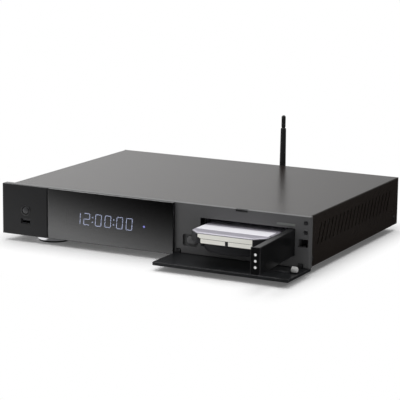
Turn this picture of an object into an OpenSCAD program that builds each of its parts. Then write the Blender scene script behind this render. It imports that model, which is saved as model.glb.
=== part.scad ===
// Media player with a hard drive bay behind a fold-down flap, shown with the flap down,
// the bay door open and the drive drawn out.
// Design axes: X to the right, Y back from the front plates, Z up from the bottom of the front.

/* [Front] */
// Width of the front
front_w = 430; // [424:1:450]
// Height of the front
front_h = 65; // [62:0.5:72]
// Depth of the plates that cover the front
plate_t = 5; // [4.5:0.1:7]
// Depth of the metal frame behind the plates
frame_t = 7; // [6:0.1:10]
// Rounding of the upright edges at the ends of the front
end_r = 2; // [0.5:0.1:3]
// Width of the left plate
left_w = 69; // [60:0.5:75]
// Width of the part of the front that the flap covers
flap_zone = 180.5; // [179:0.1:186]
// Bevel at the right end of the left plate
plate_bevel = 2.4; // [0.5:0.1:3.5]
// Width of the joint between two plates
plate_gap = 0.3; // [0.1:0.05:0.5]
// Least gap between parts that move past each other
run_gap = 0.4; // [0.3:0.05:0.6]
// Radial gap between a pin and its hole
pin_gap = 0.05; // [0.02:0.01:0.1]

/* [Power button and front socket] */
// Distance of the button from the left end of the front
button_in = 35.5; // [30:0.5:38]
// Height of the button above the bottom of the front
button_z = 33; // [30:0.5:36]
// Diameter of the button cap
button_d = 9.4; // [7:0.1:11]
// Width of the ring around the button
ring_w = 2.2; // [1.2:0.1:3]
// Travel of the button
button_travel = 1.5; // [0.8:0.1:2]
// Height of the front socket above the bottom of the front
usb_z = 18.9; // [16:0.1:20]
// Width of a flat computer socket's mouth
usb_w = 12.4; // [12:0.1:13]
// Height of a flat computer socket's mouth
usb_h = 5.2; // [4.8:0.1:6]
// Depth of a flat computer socket's shell
usb_deep = 14; // [12:0.5:18]

/* [Display] */
// Height of the figures of the display
digit_h = 15.4; // [12:0.1:18]
// Width of a figure
digit_w = 9; // [7:0.1:10]
// Width of a lit bar
bar_w = 1.1; // [0.8:0.1:1.8]
// Distance between the two figures of a pair
digit_pitch = 13.7; // [12.5:0.1:14.5]
// Distance between pairs
pair_pitch = 30.6; // [29.5:0.1:33]
// Distance of the middle pair to the left of the window's middle
display_off = 10.85; // [8:0.05:14]
// Height of the display's middle above the bottom of the front
display_z = 30.4; // [28:0.1:34]
// Backward lean of the figures, in degrees
digit_lean = 4; // [0:0.5:8]
// Width of the display module
display_w = 104; // [102:0.5:106]
// Height of the display module
display_h = 24; // [20:0.5:28]
// Distance of the small light to the right of the middle pair
light_out = 58.3; // [56:0.1:62]

/* [Flap] */
// Thickness of the flap
flap_t = 4.2; // [3:0.1:4.3]
// Depth of the flap's hinge axis behind the plates' front
flap_axis_y = 6.6; // [6.4:0.1:7]
// Height of the flap's hinge axis above the bottom of the front
flap_axis_z = 4.4; // [4.3:0.1:4.6]
// Radius of the hinge lugs
lug_r = 2.9; // [2.5:0.1:3.2]
// Width of a hinge lug
lug_w = 6; // [4:0.1:8]
// Distance of the hinge lugs from the flap's ends
lug_in = 1.6; // [1:0.1:4]
// Distance of the right lug from the flap's right end
right_lug_in = 8; // [7:0.1:10]
// Diameter of the flap's hinge pins
flap_pin_d = 2.6; // [2:0.1:3]
// Diameter of the white buffer on the flap
buffer_d = 7.4; // [5:0.1:7.5]
// Length of the white buffer
buffer_l = 7.5; // [5:0.1:8]
// Length of the strip that carries the buffer
strip_l = 28; // [20:0.5:32]
// Width of the strip
strip_w = 5; // [4:0.1:6]
// Distance of the buffer from the flap's hinge axis
buffer_out = 28; // [22:0.1:32]

/* [Drive bay] */
// Distance of the drive's middle from the right end of the front
bay_in = 88.5; // [88:0.1:91]
// Width of the drive
drive_w = 101.6; // [101:0.1:102]
// Length of the drive
drive_l = 147; // [140:0.5:150]
// Thickness of the drive
drive_t = 26.1; // [20:0.1:26.1]
// Height of the drive's underside above the bottom of the front
drive_z = 16.9; // [16:0.1:18]
// How far the drive stands out in front of the plates
drive_out = 45; // [38:0.5:46]
// Travel of the drive as the bay door shuts
drive_travel = 60; // [58:0.5:61]
// Corner bevel at the platter end of the drive
drive_bevel = 13.5; // [13:0.1:16]
// Step of the round platter housing inside the drive's width
drum_step = 2.3; // [1.5:0.1:4]
// Distance of the platter housing behind the drive's platter end
drum_in = 7; // [5:0.1:10]
// Height of the ledge over the platter housing above the drive's underside
ledge_h = 12.6; // [10:0.1:13]
// Distance of the drive's rails behind its platter end
rail_in = 38; // [36:0.5:42]
// Gap between the drive and its rails
rail_gap = 0.3; // [0.2:0.05:0.3]
// Side gap between the drive and its guides
side_gap = 0.3; // [0.2:0.05:0.5]
// Room beside the drive in the cage
side_room = 5.6; // [4:0.1:6]
// Thickness of the cage's metal
cage_t = 1; // [0.8:0.1:1.5]
// Headroom of the cage over the drive
cage_head = 6; // [5.5:0.1:6.5]
// Depth of the bay door
door_t = 11.6; // [10:0.1:12]
// Depth of the rim along the door's upper edge
rim_deep = 8.2; // [6:0.1:9]
// Wall of the bay door
door_wall = 1.8; // [1.2:0.1:2]
// Distance of the door's hinge axis beside the drive
door_side = 10.7; // [10.4:0.1:12]
// Distance of the hinge axis behind the door's outer face
door_back = 6.5; // [6:0.1:7]
// Length of the door from its hinge axis
door_more = 16.4; // [15.9:0.1:17.4]
// Angle to which the door stands open
door_open = 93.3; // [90:0.1:96]
// Diameter of the door's hinge pins
door_pin_d = 4; // [3:0.1:5]

/* [Case] */
// How far the front stands out beyond each side of the case
case_inset = 5.5; // [4:0.1:8]
// Depth of the whole box, from the front of the plates to the rear panel
case_d = 312; // [300:1:340]
// Height of the case's underside above the bottom of the front
case_z = 0.5; // [0.2:0.1:1.5]
// How much lower the cover lies than the top of the front
cover_drop = 1.8; // [0.5:0.1:3]
// Thickness of the sheet metal
sheet = 1.2; // [1:0.1:1.6]
// Thickness of the plate behind the rear panel's wide opening
plate_sheet = 0.6; // [0.4:0.1:0.8]
// Bend radius of the cover
bend_r = 1.6; // [1.3:0.1:3]
// Height of the base's side flanges
flange_h = 14; // [10:0.5:18]
// Number of slots in each side of the cover
vents = 20; // [10:1:21]
// Distance between slots
vent_pitch = 12.1; // [10:0.1:12.5]
// Width of a slot
vent_w = 3.4; // [2:0.1:4]
// Height of the slotted band
vent_h = 26; // [18:0.5:30]
// Height of the slots' middle above the bottom of the front
vent_z = 37.5; // [34:0.5:40]
// Lean of the slots, in degrees
vent_lean = 25; // [10:1:28]
// Distance of the first slot behind the front plates
vent_y = 46.5; // [44:0.5:60]
// Diameter of the feet
foot_d = 43; // [30:0.5:50]
// Height of the feet with their pads
foot_h = 9.5; // [8:0.1:14]
// Thickness of the rubber pads
pad_t = 1.6; // [1:0.1:3]
// Distance of the feet from the ends of the front
foot_in = 58; // [48:0.5:70]
// Distance of the front feet behind the plates
foot_y = 34.5; // [34:0.5:60]
// Distance of the rear feet in front of the rear panel
foot_back = 46; // [30:0.5:60]

/* [Inside] */
// Width of the supply board
supply_w = 108; // [80:1:112]
// Length of the supply board
supply_l = 132; // [110:1:134]
// Length of the main board
board_l = 160; // [150:1:170]
// Free space between the boards and their neighbours
board_gap = 8; // [4:0.5:9]
// Width of the heat sink
sink_w = 48; // [36:1:50]
// Length of the heat sink
sink_l = 44; // [30:1:48]
// Height of the heat sink
sink_h = 22; // [14:0.5:26]
// Number of fins of the heat sink
fins = 12; // [8:1:12]
// Height of the round rear sockets' lower row above the bottom of the front
rca_z = 20; // [19:0.5:22]
// Distance between the rows of round sockets
rca_row = 18; // [15:0.5:20]
// Distance between round sockets of a group
rca_pitch = 16; // [14:0.5:17]

/* [Antenna] */
// Place of the antenna, from the middle of the front
antenna_x = 33; // [20:0.5:60]
// Height of its socket above the bottom of the front
antenna_z = 30; // [26:0.5:36]
// Diameter of the whip at its foot
whip_d = 9; // [7:0.1:9]
// Diameter of the whip below its cap
whip_top_d = 7.4; // [5:0.1:7.5]
// Length of the whip from its hinge to its cap
whip_l = 83.4; // [70:0.1:150]
// Diameter of the cap
cap_d = 5.8; // [4:0.1:6.5]
// Length of the cap
cap_l = 17.6; // [8:0.1:20]

/* [Hidden] */
$fn = 48;
eps = 0.01;

// Front
frame_y = plate_t;
back_y = frame_y + frame_t;
left_x = -front_w / 2;
left_end = left_x + left_w;
window_end = front_w / 2 - flap_zone;
display_x = (left_end + window_end) / 2 - display_off;
bay_x = front_w / 2 - bay_in;
case_w = front_w - 2 * case_inset;
flap_x0 = window_end + run_gap;
flap_x1 = front_w / 2 - 0.5;
flap_h = front_h - run_gap;
flap_x = (flap_x0 + flap_x1) / 2;
ring_d = button_d + 2 * run_gap + 2 * ring_w;
button_x = left_x + button_in;
light_x = display_x + light_out;
light_d = 2.6;
screw_d = 3;

// Bay, with the door hinged beside the drive
drive_x0 = bay_x - drive_w / 2;
drive_x1 = bay_x + drive_w / 2;
drive_y = -drive_out;
drive_top = drive_z + drive_t;
cage_x0 = drive_x0 - side_room;
cage_x1 = drive_x1 + side_room;
cage_z0 = drive_z - rail_gap;
cage_z1 = drive_top + cage_head;
plug_room = 4;
plug_l = 7;
cage_end = drive_y + drive_travel + drive_l + plug_room;
hinge_x = drive_x1 + door_side;
door_l = drive_w + door_more;
hinge_y = frame_y + 0.5 + door_back;
bay_x0 = hinge_x - door_l - run_gap - 0.3;
bay_x1 = hinge_x + door_back + (hinge_y - frame_y) * tan(door_open - 90) + run_gap;
bay_z0 = cage_z0 - 0.9;
bezel_back = hinge_y + door_back + run_gap;
bezel_wall = 1.5;
cage_y0 = bezel_back + bezel_wall;
pin_in = 5.6;
pin_out = 3;
bay_z1 = cage_z1 + 0.3;
door_z0 = bay_z0 + run_gap + 0.2;
door_z1 = bay_z1 - run_gap - 0.2;
door_h = door_z1 - door_z0;
door_over = door_open - 90;
lip_deep = 3.6;
rib_deep = 2.6;
latch_w = 15;
latch_h = 12.4;
latch_x = bay_x0 - 12.2;
latch_z = drive_z + 2.1;
latch_travel = 4;
latch_stem = 6;

// Case
cover_top = front_h - cover_drop;
side_x = case_w / 2;
inner_x = side_x - sheet;
floor_z = case_z - foot_h;
base_y0 = back_y;
rear_y = case_d - sheet;
foot_xs = [left_x + foot_in, front_w / 2 - foot_in];
foot_ys = [foot_y, case_d - foot_back];
board_t = 1.6;
board_z = case_z + sheet + 6;
pivot_y = case_d + 15;
fork_r = 5;
tang_w = 4.6;
rca_d = 8.4;
rca_l = 8.4;
flange_z = case_z + flange_h;
low_flange_z = case_z + 8;
lug_floor = flap_axis_z - flap_axis_y + flap_t;

// Places on the rear panel, seen as X across and Z up
supply_x0 = board_gap - inner_x;
supply_x1 = supply_x0 + supply_w;
board_x0 = supply_x1 + 2 * board_gap;
board_x1 = cage_x0 - board_gap;
board_y1 = rear_y - sheet - 0.4;
board_y0 = board_y1 - board_l;
board_top = board_z + board_t;
inlet_at = [41.5 - side_x, 34];
optical_at = [board_x0 + 8, board_top + 10.7];
video_at = [board_x0 + 26, board_top + 7.2];
usb_at = [board_x0 + 44, board_top + 10.7];
network_at = [board_x0 + 63, board_top + 10.7];
rca_x1 = side_x - 44;
rca_xs = [for (i = [0:5]) rca_x1 - (5 - i) * rca_pitch - (i < 3 ? 6 : 0)];
rca_zs = [rca_z, rca_z + rca_row];

// The part stands on its feet, with the middle of its box at the origin
front_reach = hinge_y - door_l * cos(door_over) - (door_t - door_back) * sin(door_over);
back_reach = pivot_y + fork_r;
mid_y = (front_reach + back_reach) / 2;

module placed() {
    translate([0, -mid_y, -floor_z]) children();
}

// A plain block between two corners
module block(a, b) {
    translate(a) cube(b - a);
}

// A flat plate standing in the X-Z plane: its outline is drawn in X and Z, and it runs from y to y + t
module upright(y, t) {
    translate([0, y + t, 0]) rotate([90, 0, 0]) linear_extrude(t) children();
}

// A plate standing in the Y-Z plane: its outline is drawn in Y and Z, and it runs from x to x + t
module sideways(x, t) {
    translate([x, 0, 0]) rotate([90, 0, 90]) linear_extrude(t) children();
}

// A rectangle with round corners, from corner a to corner b
module round_rect(a, b, r) {
    translate([a[0] + r, a[1]]) square([b[0] - a[0] - 2 * r, b[1] - a[1]]);
    translate([a[0], a[1] + r]) square([b[0] - a[0], b[1] - a[1] - 2 * r]);
    for (x = [a[0] + r, b[0] - r])
        for (y = [a[1] + r, b[1] - r])
            translate([x, y]) circle(r);
}

// A round bar along X, along Y or along Z
module bar_x(x, y, z, d, l) {
    translate([x, y, z]) rotate([0, 90, 0]) cylinder(d = d, h = l);
}

module bar_y(x, y, z, d, l) {
    translate([x, y, z]) rotate([-90, 0, 0]) cylinder(d = d, h = l);
}

// A cross-head screw whose head stands on a face and whose shank goes along the turned -Z
module screw(d, l, head) {
    difference() {
        union() {
            cylinder(d1 = 2 * d, d2 = 1.5 * d, h = head);
            translate([0, 0, -l]) cylinder(d = d, h = l + eps);
        }
        for (a = [0, 90])
            rotate([0, 0, a]) translate([-0.6 * d, -0.15 * d, 0.4 * head]) cube([1.2 * d, 0.3 * d, head]);
    }
}

// ---- Case ----

screw_ys = [back_y + 13, case_d - 13];
screw_z = case_z + flange_h - 4;

module base_pan() {
    color("#2c2c2e") placed() difference() {
        union() {
            block([-inner_x + eps, base_y0, case_z], [inner_x - eps, rear_y, case_z + sheet]);
            for (s = [-1, 1])
                translate([s * (inner_x - sheet / 2), 0, 0])
                    block([-sheet / 2, base_y0, case_z], [sheet / 2, rear_y, flange_z]);
            block([-inner_x + eps, base_y0, case_z], [inner_x - eps, base_y0 + sheet, low_flange_z]);
            block([-inner_x + eps, rear_y - sheet, case_z], [inner_x - eps, rear_y, low_flange_z]);
        }
        for (x = foot_xs)
            for (y = foot_ys)
                translate([x, y, case_z - eps]) cylinder(d = screw_d + 2 * pin_gap, h = sheet + 2 * eps);
        // Slots under the boards
        for (i = [0:11])
            for (j = [0:2])
                block([i * 14 - 90, case_d - 207 + j * 28, case_z - eps],
                    [i * 14 - 86, case_d - 187 + j * 28, case_z + sheet + eps]);
        for (y = screw_ys)
            bar_x(-inner_x - eps, y, screw_z, screw_d + 2 * pin_gap, 2 * inner_x + 2 * eps);
        for (x = frame_screw_xs)
            bar_y(x, base_y0 - eps, frame_screw_z, screw_d + 2 * pin_gap, sheet + 2 * eps);
    }
}

// One leaning slot of the cover's side, drawn in Y and Z
module vent_slot() {
    run = (vent_h - vent_w) / cos(vent_lean);
    rotate(-vent_lean) {
        square([vent_w, run], center = true);
        for (s = [-1, 1])
            translate([0, s * run / 2]) circle(d = vent_w, $fn = 16);
    }
}

module cover_outline(r) {
    translate([-side_x, case_z]) square([case_w, cover_top - case_z - r]);
    translate([-side_x + r, cover_top - 2 * r]) square([case_w - 2 * r, 2 * r]);
    for (s = [-1, 1])
        translate([s * (side_x - r), cover_top - r]) circle(r);
}

module top_cover() {
    color("#2e2e30") placed() difference() {
        upright(back_y, rear_y - back_y) difference() {
            cover_outline(bend_r);
            translate([-inner_x, case_z - eps]) square([2 * inner_x, cover_top - sheet - case_z - bend_r]);
            translate([-inner_x + bend_r - sheet, cover_top - 3 * bend_r])
                square([2 * (inner_x - bend_r + sheet), 3 * bend_r - sheet]);
        }
        for (i = [0:vents - 1])
            sideways(-side_x - 1, case_w + 2)
                translate([vent_y + i * vent_pitch, vent_z]) vent_slot();
        for (y = screw_ys)
            bar_x(-side_x - eps, y, screw_z, screw_d + 2 * pin_gap, case_w + 2 * eps);
        for (x = cover_screw_xs)
            bar_y(x, rear_y - 12, cover_top - sheet - 5, screw_d, 12);
    }
}

cover_screw_xs = [for (x = [side_x - 19.5, (side_x - 19.5) / 3]) for (s = [-1, 1]) s * x];

module cover_screws() {
    color("#3a3a3c") placed() {
        for (y = screw_ys) {
            translate([side_x, y, screw_z]) rotate([0, 90, 0]) screw(screw_d, 2 * sheet, 1.2);
            translate([-side_x, y, screw_z]) rotate([0, -90, 0]) screw(screw_d, 2 * sheet, 1.2);
        }
        for (x = cover_screw_xs)
            translate([x, case_d, cover_top - sheet - 6]) rotate([-90, 0, 0]) screw(screw_d, sheet, 1.2);
    }
}

module rear_panel() {
    color("#343437") placed() difference() {
        union() {
            upright(rear_y, sheet) difference() {
                translate([-side_x, case_z]) square([case_w, cover_top - case_z]);
                translate([inlet_at[0] - 13.8, inlet_at[1] - 10]) square([27.6, 20]);
                translate([optical_at[0] - 8, board_top]) square([network_at[0] - optical_at[0] + 19, 25]);
                for (x = rca_xs)
                    for (z = rca_zs)
                        translate([x, z]) circle(d = rca_d + 1.6);
                translate([antenna_x, antenna_z]) circle(d = 6.6);
                for (i = [0:7])
                    translate([inlet_at[0] + 28 + i * 6, inlet_at[1]])
                        round_rect([-1.5, -12], [1.5, 12], 1.4);
                for (x = cover_screw_xs)
                    translate([x, cover_top - sheet - 6]) circle(d = screw_d + 2 * pin_gap);
            }
            block([-inner_x + 1, rear_y - 10, cover_top - 2 * sheet],
                [inner_x - 1, rear_y, cover_top - sheet]);
        }
        for (x = cover_screw_xs)
            bar_y(x, rear_y - 1, cover_top - sheet - 6, screw_d, 1);
    }
}

// A thin plate behind the rear panel's wide opening, with a hole for each socket on the main board
module socket_plate() {
    color("#b2b4b8") placed() upright(rear_y - plate_sheet, plate_sheet) difference() {
        translate([optical_at[0] - 11, board_top + 0.4]) square([network_at[0] - optical_at[0] + 25, 28]);
        translate([network_at[0] - 8, network_at[1] - 7]) square([16, 14]);
        translate([video_at[0] - 7.7, video_at[1] - 3.2]) square([15.4, 6.4]);
        translate([usb_at[0] - usb_w / 2 - 0.9, usb_at[1] - 8]) square([usb_w + 1.8, 17]);
        translate([optical_at[0] - 5, optical_at[1] - 5]) square([10, 10]);
    }
}

// ---- Front ----

frame_screw_xs = [left_end + 26, window_end - 34.5, bay_x0 + 31, bay_x1 - 5];
frame_screw_z = case_z + 4.5;
recess_screws = [for (z = [7.4, 19]) [front_w / 2 - 5.8, front_h - z]];
lug_x0 = flap_x0 + lug_in;
lug_x1 = flap_x1 - right_lug_in - lug_w;

module latch_pocket() {
    round_rect([latch_x - latch_w / 2 - latch_travel - run_gap, latch_z - latch_h / 2 - 1.5],
        [latch_x + latch_w / 2 + 1.5, latch_z + latch_h / 2 + 1.5], 3);
}

module front_frame() {
    color("#48494c") placed() difference() {
        union() {
            upright(frame_y, frame_t) difference() {
                translate([left_x, 0]) square([front_w, front_h]);
                translate([bay_x0, bay_z0]) square([bay_x1 - bay_x0, bay_z1 - bay_z0]);
                translate([window_end, -eps]) square([front_w, lug_floor + 0.6 + eps]);
            }
        }
        // Round upright edges at the ends
        for (s = [-1, 1])
            translate([s * (front_w / 2 - end_r), frame_y + end_r, -eps])
                difference() {
                    translate([s > 0 ? 0 : -end_r - eps, -end_r - eps, 0])
                        cube([end_r + eps, end_r + eps, front_h + 2 * eps]);
                    translate([0, 0, -eps]) cylinder(r = end_r, h = front_h + 4 * eps);
                }
        // Room for the display, the button, the socket and the hollow back
        block([display_x - display_w / 2 - 4, frame_y - eps, display_z - display_h / 2 - 4],
            [light_x + 5, back_y + eps, display_z + display_h / 2 + 4]);
        bar_y(button_x, frame_y - eps, button_z, ring_d + 1, frame_t + 2 * eps);
        block([button_x - usb_w / 2 - 1.4, frame_y - eps, usb_z - usb_h / 2 - 1.4],
            [button_x + usb_w / 2 + 1.4, back_y + eps, usb_z + usb_h / 2 + 1.4]);
        // Pockets and holes of the flap's hinges
        for (x = [lug_x0, lug_x1]) {
            block([x - run_gap, frame_y - eps, 0],
                [x + lug_w + run_gap, flap_axis_y + lug_r + run_gap, flap_axis_z + lug_r + run_gap]);
            bar_x(x - 6, flap_axis_y, flap_axis_z, flap_pin_d + 2 * pin_gap, lug_w + 12);
        }
        // Latch pocket, its slot, and the catch's seat in the top edge
        upright(frame_y - eps, 4) latch_pocket();
        block([latch_x - latch_stem / 2 - latch_travel - run_gap, frame_y,
            latch_z - latch_stem / 2 - run_gap], [latch_x + latch_stem / 2 + run_gap, back_y + eps,
            latch_z + latch_stem / 2 + run_gap]);
        block([flap_x - 8, frame_y - eps, front_h - 3], [flap_x + 8, frame_y + 4, front_h + eps]);
        for (p = recess_screws)
            bar_y(p[0], frame_y - eps, p[1], screw_d + 2 * pin_gap, frame_t + 2 * eps);
        for (x = frame_screw_xs)
            bar_y(x, frame_y + 2, frame_screw_z, screw_d + 2 * pin_gap, frame_t);
        // Holes of the door's pins, the seats of the hinge bracket and the door's catch, and the
        // pocket that takes the buffer when the flap is shut
        door_pin_holes();
        bracket_block(0.05);
        catch_block(0.05);
        block([flap_x1 - buffer_in - buffer_l - 4.4, frame_y - eps, buffer_shut_z - buffer_d / 2 - 1.4],
            [flap_x1 - 2, back_y + eps, buffer_shut_z + buffer_d / 2 + 1.4]);
    }
}

module left_plate() {
    color("#2b2c2e") placed() difference() {
        translate([0, 0, 0]) linear_extrude(front_h) difference() {
            polygon([[left_x, 0], [left_end - plate_bevel, 0], [left_end - plate_gap, plate_bevel / 2],
                [left_end - plate_gap, plate_t], [left_x, plate_t]]);
            translate([left_x + end_r, end_r]) difference() {
                translate([-end_r - eps, -end_r - eps]) square(end_r + eps);
                circle(end_r);
            }
        }
        bar_y(button_x, -eps, button_z, ring_d + 2 * eps, plate_t + 2 * eps);
        translate([0, -eps, 0]) upright(0, plate_t + 2 * eps)
            round_rect([button_x - usb_w / 2 - 1, usb_z - usb_h / 2 - 1],
                [button_x + usb_w / 2 + 1, usb_z + usb_h / 2 + 1], 0.6);
    }
}

module button_ring() {
    color("#1b1b1d") placed() translate([button_x, 0, button_z]) rotate([-90, 0, 0])
        rotate_extrude() polygon([[button_d / 2 + run_gap, 1.2], [button_d / 2 + run_gap + 0.8, 0.4],
            [ring_d / 2 - 0.5, -0.6], [ring_d / 2, -0.2], [ring_d / 2, back_y + 2],
            [button_d / 2 + run_gap, back_y + 2]]);
}

module power_button() {
    color("#3b3b3e") placed() translate([button_x, 0, button_z]) rotate([-90, 0, 0]) {
        rotate_extrude() {
            intersection() {
                translate([0, 12.8]) circle(14, $fn = 96);
                translate([0, -2]) square([button_d / 2, 6]);
            }
            translate([0, 2]) square([button_d / 2, back_y]);
        }
        translate([0, 0, back_y + 1]) cylinder(d = button_d - 3, h = 4.6);
    }
}

module button_switch() {
    color("#1d1d1f") placed() {
        y = back_y + 5.6 + button_travel + run_gap;
        block([button_x - 6, y, button_z - 6], [button_x + 6, front_board_y, button_z + 6]);
    }
}

front_board_y = back_y + 13;

module front_board() {
    color("#1f5a36") placed() {
        difference() {
            block([left_x + 12, front_board_y, case_z + sheet + 3],
                [window_end - 12, front_board_y + board_t, front_h - 10]);
            block([left_end - 10, front_board_y - 1, 24], [left_end - 4, front_board_y + 3, 40]);
        }
        for (x = [left_x + 17, window_end - 17])
            block([x - 3, back_y, 45], [x + 3, front_board_y, 51]);
    }
}

// A flat computer socket, mouth towards -Y at y = 0, drawn about its own middle
module flat_socket(deep) {
    difference() {
        block([-usb_w / 2 - 0.6, 0, -usb_h / 2 - 0.6], [usb_w / 2 + 0.6, deep, usb_h / 2 + 0.6]);
        block([-usb_w / 2, -eps, -usb_h / 2], [usb_w / 2, deep - 2, usb_h / 2]);
    }
    block([-usb_w / 2 + 0.7, 0.8, 0.5], [usb_w / 2 - 0.7, deep - 1, usb_h / 2]);
}

module front_usb_socket() {
    color("#9a9b9e") placed() translate([button_x, 1.2, usb_z]) flat_socket(front_board_y - 1.2);
}

module display_window() {
    color("#0c0c0e") placed() translate([0, 0, 0]) difference() {
        block([left_end, 0, 0], [window_end, plate_t, front_h]);
        // Small bevels round the face
        for (s = [0, 1])
            translate([0, 0, s * front_h]) rotate([45, 0, 0])
                cube([front_w, 0.8, 0.8], center = true);
        block([display_x - display_w / 2 - 4, 2.2, display_z - display_h / 2 - 2],
            [light_x + 5, plate_t + eps, display_z + display_h / 2 + 2]);
    }
}

module display_module() {
    color("#101214") placed() {
        block([display_x - display_w / 2, 4.2, display_z - display_h / 2],
            [display_x + display_w / 2, 10, display_z + display_h / 2]);
        block([display_x - display_w / 2 + 6, 10, display_z - display_h / 2 + 3],
            [display_x + display_w / 2 - 6, front_board_y, display_z + display_h / 2 - 3]);
    }
}

// The seven bars of a figure, lit where the list holds 1: top, upper right, lower right, bottom,
// lower left, upper left, middle
module figure_bars(lit) {
    w = digit_w / 2 - bar_w / 2;
    h = digit_h / 2 - bar_w / 2;
    long = h - bar_w;
    multmatrix([[1, tan(digit_lean), 0, 0], [0, 1, 0, 0], [0, 0, 1, 0], [0, 0, 0, 1]]) {
        for (i = [0:6])
            if (lit[i] == 1) {
                at = [[0, h], [w, h / 2], [w, -h / 2], [0, -h], [-w, -h / 2], [-w, h / 2], [0, 0]][i];
                flat = i == 0 || i == 3 || i == 6;
                translate(at) square(flat ? [2 * w - bar_w - 0.3, bar_w] : [bar_w, long + bar_w - 0.6],
                    center = true);
            }
    }
}

module display_figures() {
    zero = [1, 1, 1, 1, 1, 1, 0];
    one = [0, 1, 1, 0, 0, 0, 0];
    two = [1, 1, 0, 1, 1, 0, 1];
    shown = [one, two, zero, zero, zero, zero];
    color("#a9c8ff") placed() upright(3.9, 0.3) {
        for (i = [0:5]) {
            x = display_x + (floor(i / 2) - 1) * pair_pitch + (i % 2 - 0.5) * digit_pitch;
            translate([x, display_z]) figure_bars(shown[i]);
        }
        for (i = [0, 1])
            for (s = [-1, 1])
                translate([display_x + (i - 0.5) * pair_pitch, display_z + s * digit_h / 5])
                    circle(d = bar_w * 1.3, $fn = 24);
    }
}

module indicator_light() {
    color("#5a86ff") placed() {
        bar_y(light_x, 3.4, display_z - 0.9, light_d, front_board_y - 3.4);
        bar_y(light_x, front_board_y - 1.2, display_z - 0.9, light_d + 1, 1.2);
    }
}

// ---- Flap, folded down: its inner face is up ----

module flap_down() {
    // Turns the shut flap about its hinge axis until it lies flat
    translate([0, flap_axis_y, flap_axis_z]) rotate([90, 0, 0])
        translate([0, -flap_axis_y, -flap_axis_z]) children();
}

module flap_plate() {
    color("#2b2c2e") placed() flap_down() difference() {
        block([flap_x0, 0, 0.2], [flap_x1, flap_t, flap_h]);
        translate([flap_x1, 0, 0]) difference() {
            translate([-end_r, -eps, -1]) cube([end_r + eps, end_r + eps, front_h + 2]);
            translate([-end_r, end_r, -2]) cylinder(r = end_r, h = front_h + 4);
        }
        block([flap_x0 - eps, flap_t - 0.5, flap_h - 1.4], [flap_x1 + eps, flap_t + eps, flap_h + eps]);
        block([flap_x - 7, flap_t - 1.2, flap_h - 5.8], [flap_x + 7, flap_t + eps, flap_h - 2.2]);
    }
}

module flap_striker() {
    color("#8d8f93") placed() flap_down()
        block([flap_x - 6.8, flap_t - 1.2, flap_h - 5.6], [flap_x + 6.8, flap_t + 0.3, flap_h - 2.4]);
}

module flap_lugs() {
    color("#1c1c1e") placed() flap_down() for (x = [lug_x0, lug_x1])
        difference() {
            union() {
                bar_x(x, flap_axis_y, flap_axis_z, 2 * lug_r, lug_w);
                block([x, flap_t, flap_axis_z - lug_r], [x + lug_w, flap_axis_y, flap_axis_z + lug_r]);
            }
            bar_x(x - eps, flap_axis_y, flap_axis_z, flap_pin_d + 2 * pin_gap, lug_w + 2 * eps);
            block([x - eps, 0, 0], [x + lug_w + eps, flap_t, flap_axis_z + 2 * lug_r]);
        }
}

module flap_pins() {
    color("#85878b") placed() for (x = [lug_x0, lug_x1])
        bar_x(x - 5, flap_axis_y, flap_axis_z, flap_pin_d, lug_w + 10);
}

module flap_catch() {
    color("#0e0e10") placed() difference() {
        block([flap_x - 7.8, frame_y + 0.3, front_h - 3], [flap_x + 7.8, frame_y + 4, front_h - 0.4]);
        block([flap_x - 6, frame_y, front_h - 2.2], [flap_x + 6, frame_y + 1.8, front_h - 1.2]);
    }
}

// A white buffer on a thin steel strip, near the flap's right end
buffer_in = 2.6;
buffer_shut_z = flap_axis_z + buffer_out;
buffer_x = flap_x1 - buffer_in - buffer_l;
strip_t = 0.6;
tab_t = 1.4;
buffer_y = flap_t + strip_t + buffer_d / 2;

module buffer_bracket() {
    color("#151517") placed() flap_down() difference() {
        union() {
            block([buffer_x - tab_t - strip_l, flap_t, buffer_shut_z - strip_w / 2], [buffer_x + buffer_l,
                flap_t + strip_t, buffer_shut_z + strip_w / 2]);
            block([buffer_x - tab_t, flap_t, buffer_shut_z - strip_w / 2], [buffer_x, buffer_y + strip_w / 2,
                buffer_shut_z + strip_w / 2]);
        }
        bar_x(buffer_x - tab_t - eps, buffer_y, buffer_shut_z, 2.4 + 2 * pin_gap, tab_t + 2 * eps);
        block([buffer_x - strip_l + 4, flap_t + strip_t - 0.3, buffer_shut_z - 1], [buffer_x - tab_t - 4,
            flap_t + strip_t + eps, buffer_shut_z + 1]);
    }
}

module flap_buffer() {
    color("#e6e6e2") placed() flap_down() translate([buffer_x, buffer_y, buffer_shut_z]) {
        bar_x(-tab_t - 0.6, 0, 0, 2.4, tab_t + 0.6 + eps);
        rotate([0, 90, 0]) rotate_extrude() intersection() {
            union() {
                square([buffer_d / 2, buffer_l - buffer_d / 2]);
                translate([0, buffer_l - buffer_d / 2]) circle(buffer_d / 2);
            }
            square([buffer_d / 2, buffer_l]);
        }
    }
}

// ---- Drive bay ----

module door_pin_holes() {
    for (z = [bay_z0 - pin_out - eps, bay_z1 - eps])
        translate([hinge_x, hinge_y, z]) cylinder(d = door_pin_d + 2 * pin_gap, h = pin_out + 2 * eps);
}

// Steel bracket over the door's upper pin
module bracket_block(gap) {
    block([hinge_x - 16.4 - gap, frame_y - 0.4, bay_z1 + pin_out - gap], [hinge_x + 7.4 + gap, frame_y + 1.2
        + gap, bay_z1 + pin_out + 2.4 + gap]);
}

module hinge_bracket() {
    color("#8d8f93") placed() bracket_block(0);
}

// Catch in the left wall of the opening
module catch_block(gap) {
    block([bay_x0 - 3 - gap, frame_y + 1 - gap, bay_z1 - 7.3 - gap], [bay_x0, frame_y + 11 + gap,
        bay_z1 - 1.6 + gap]);
}

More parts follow.
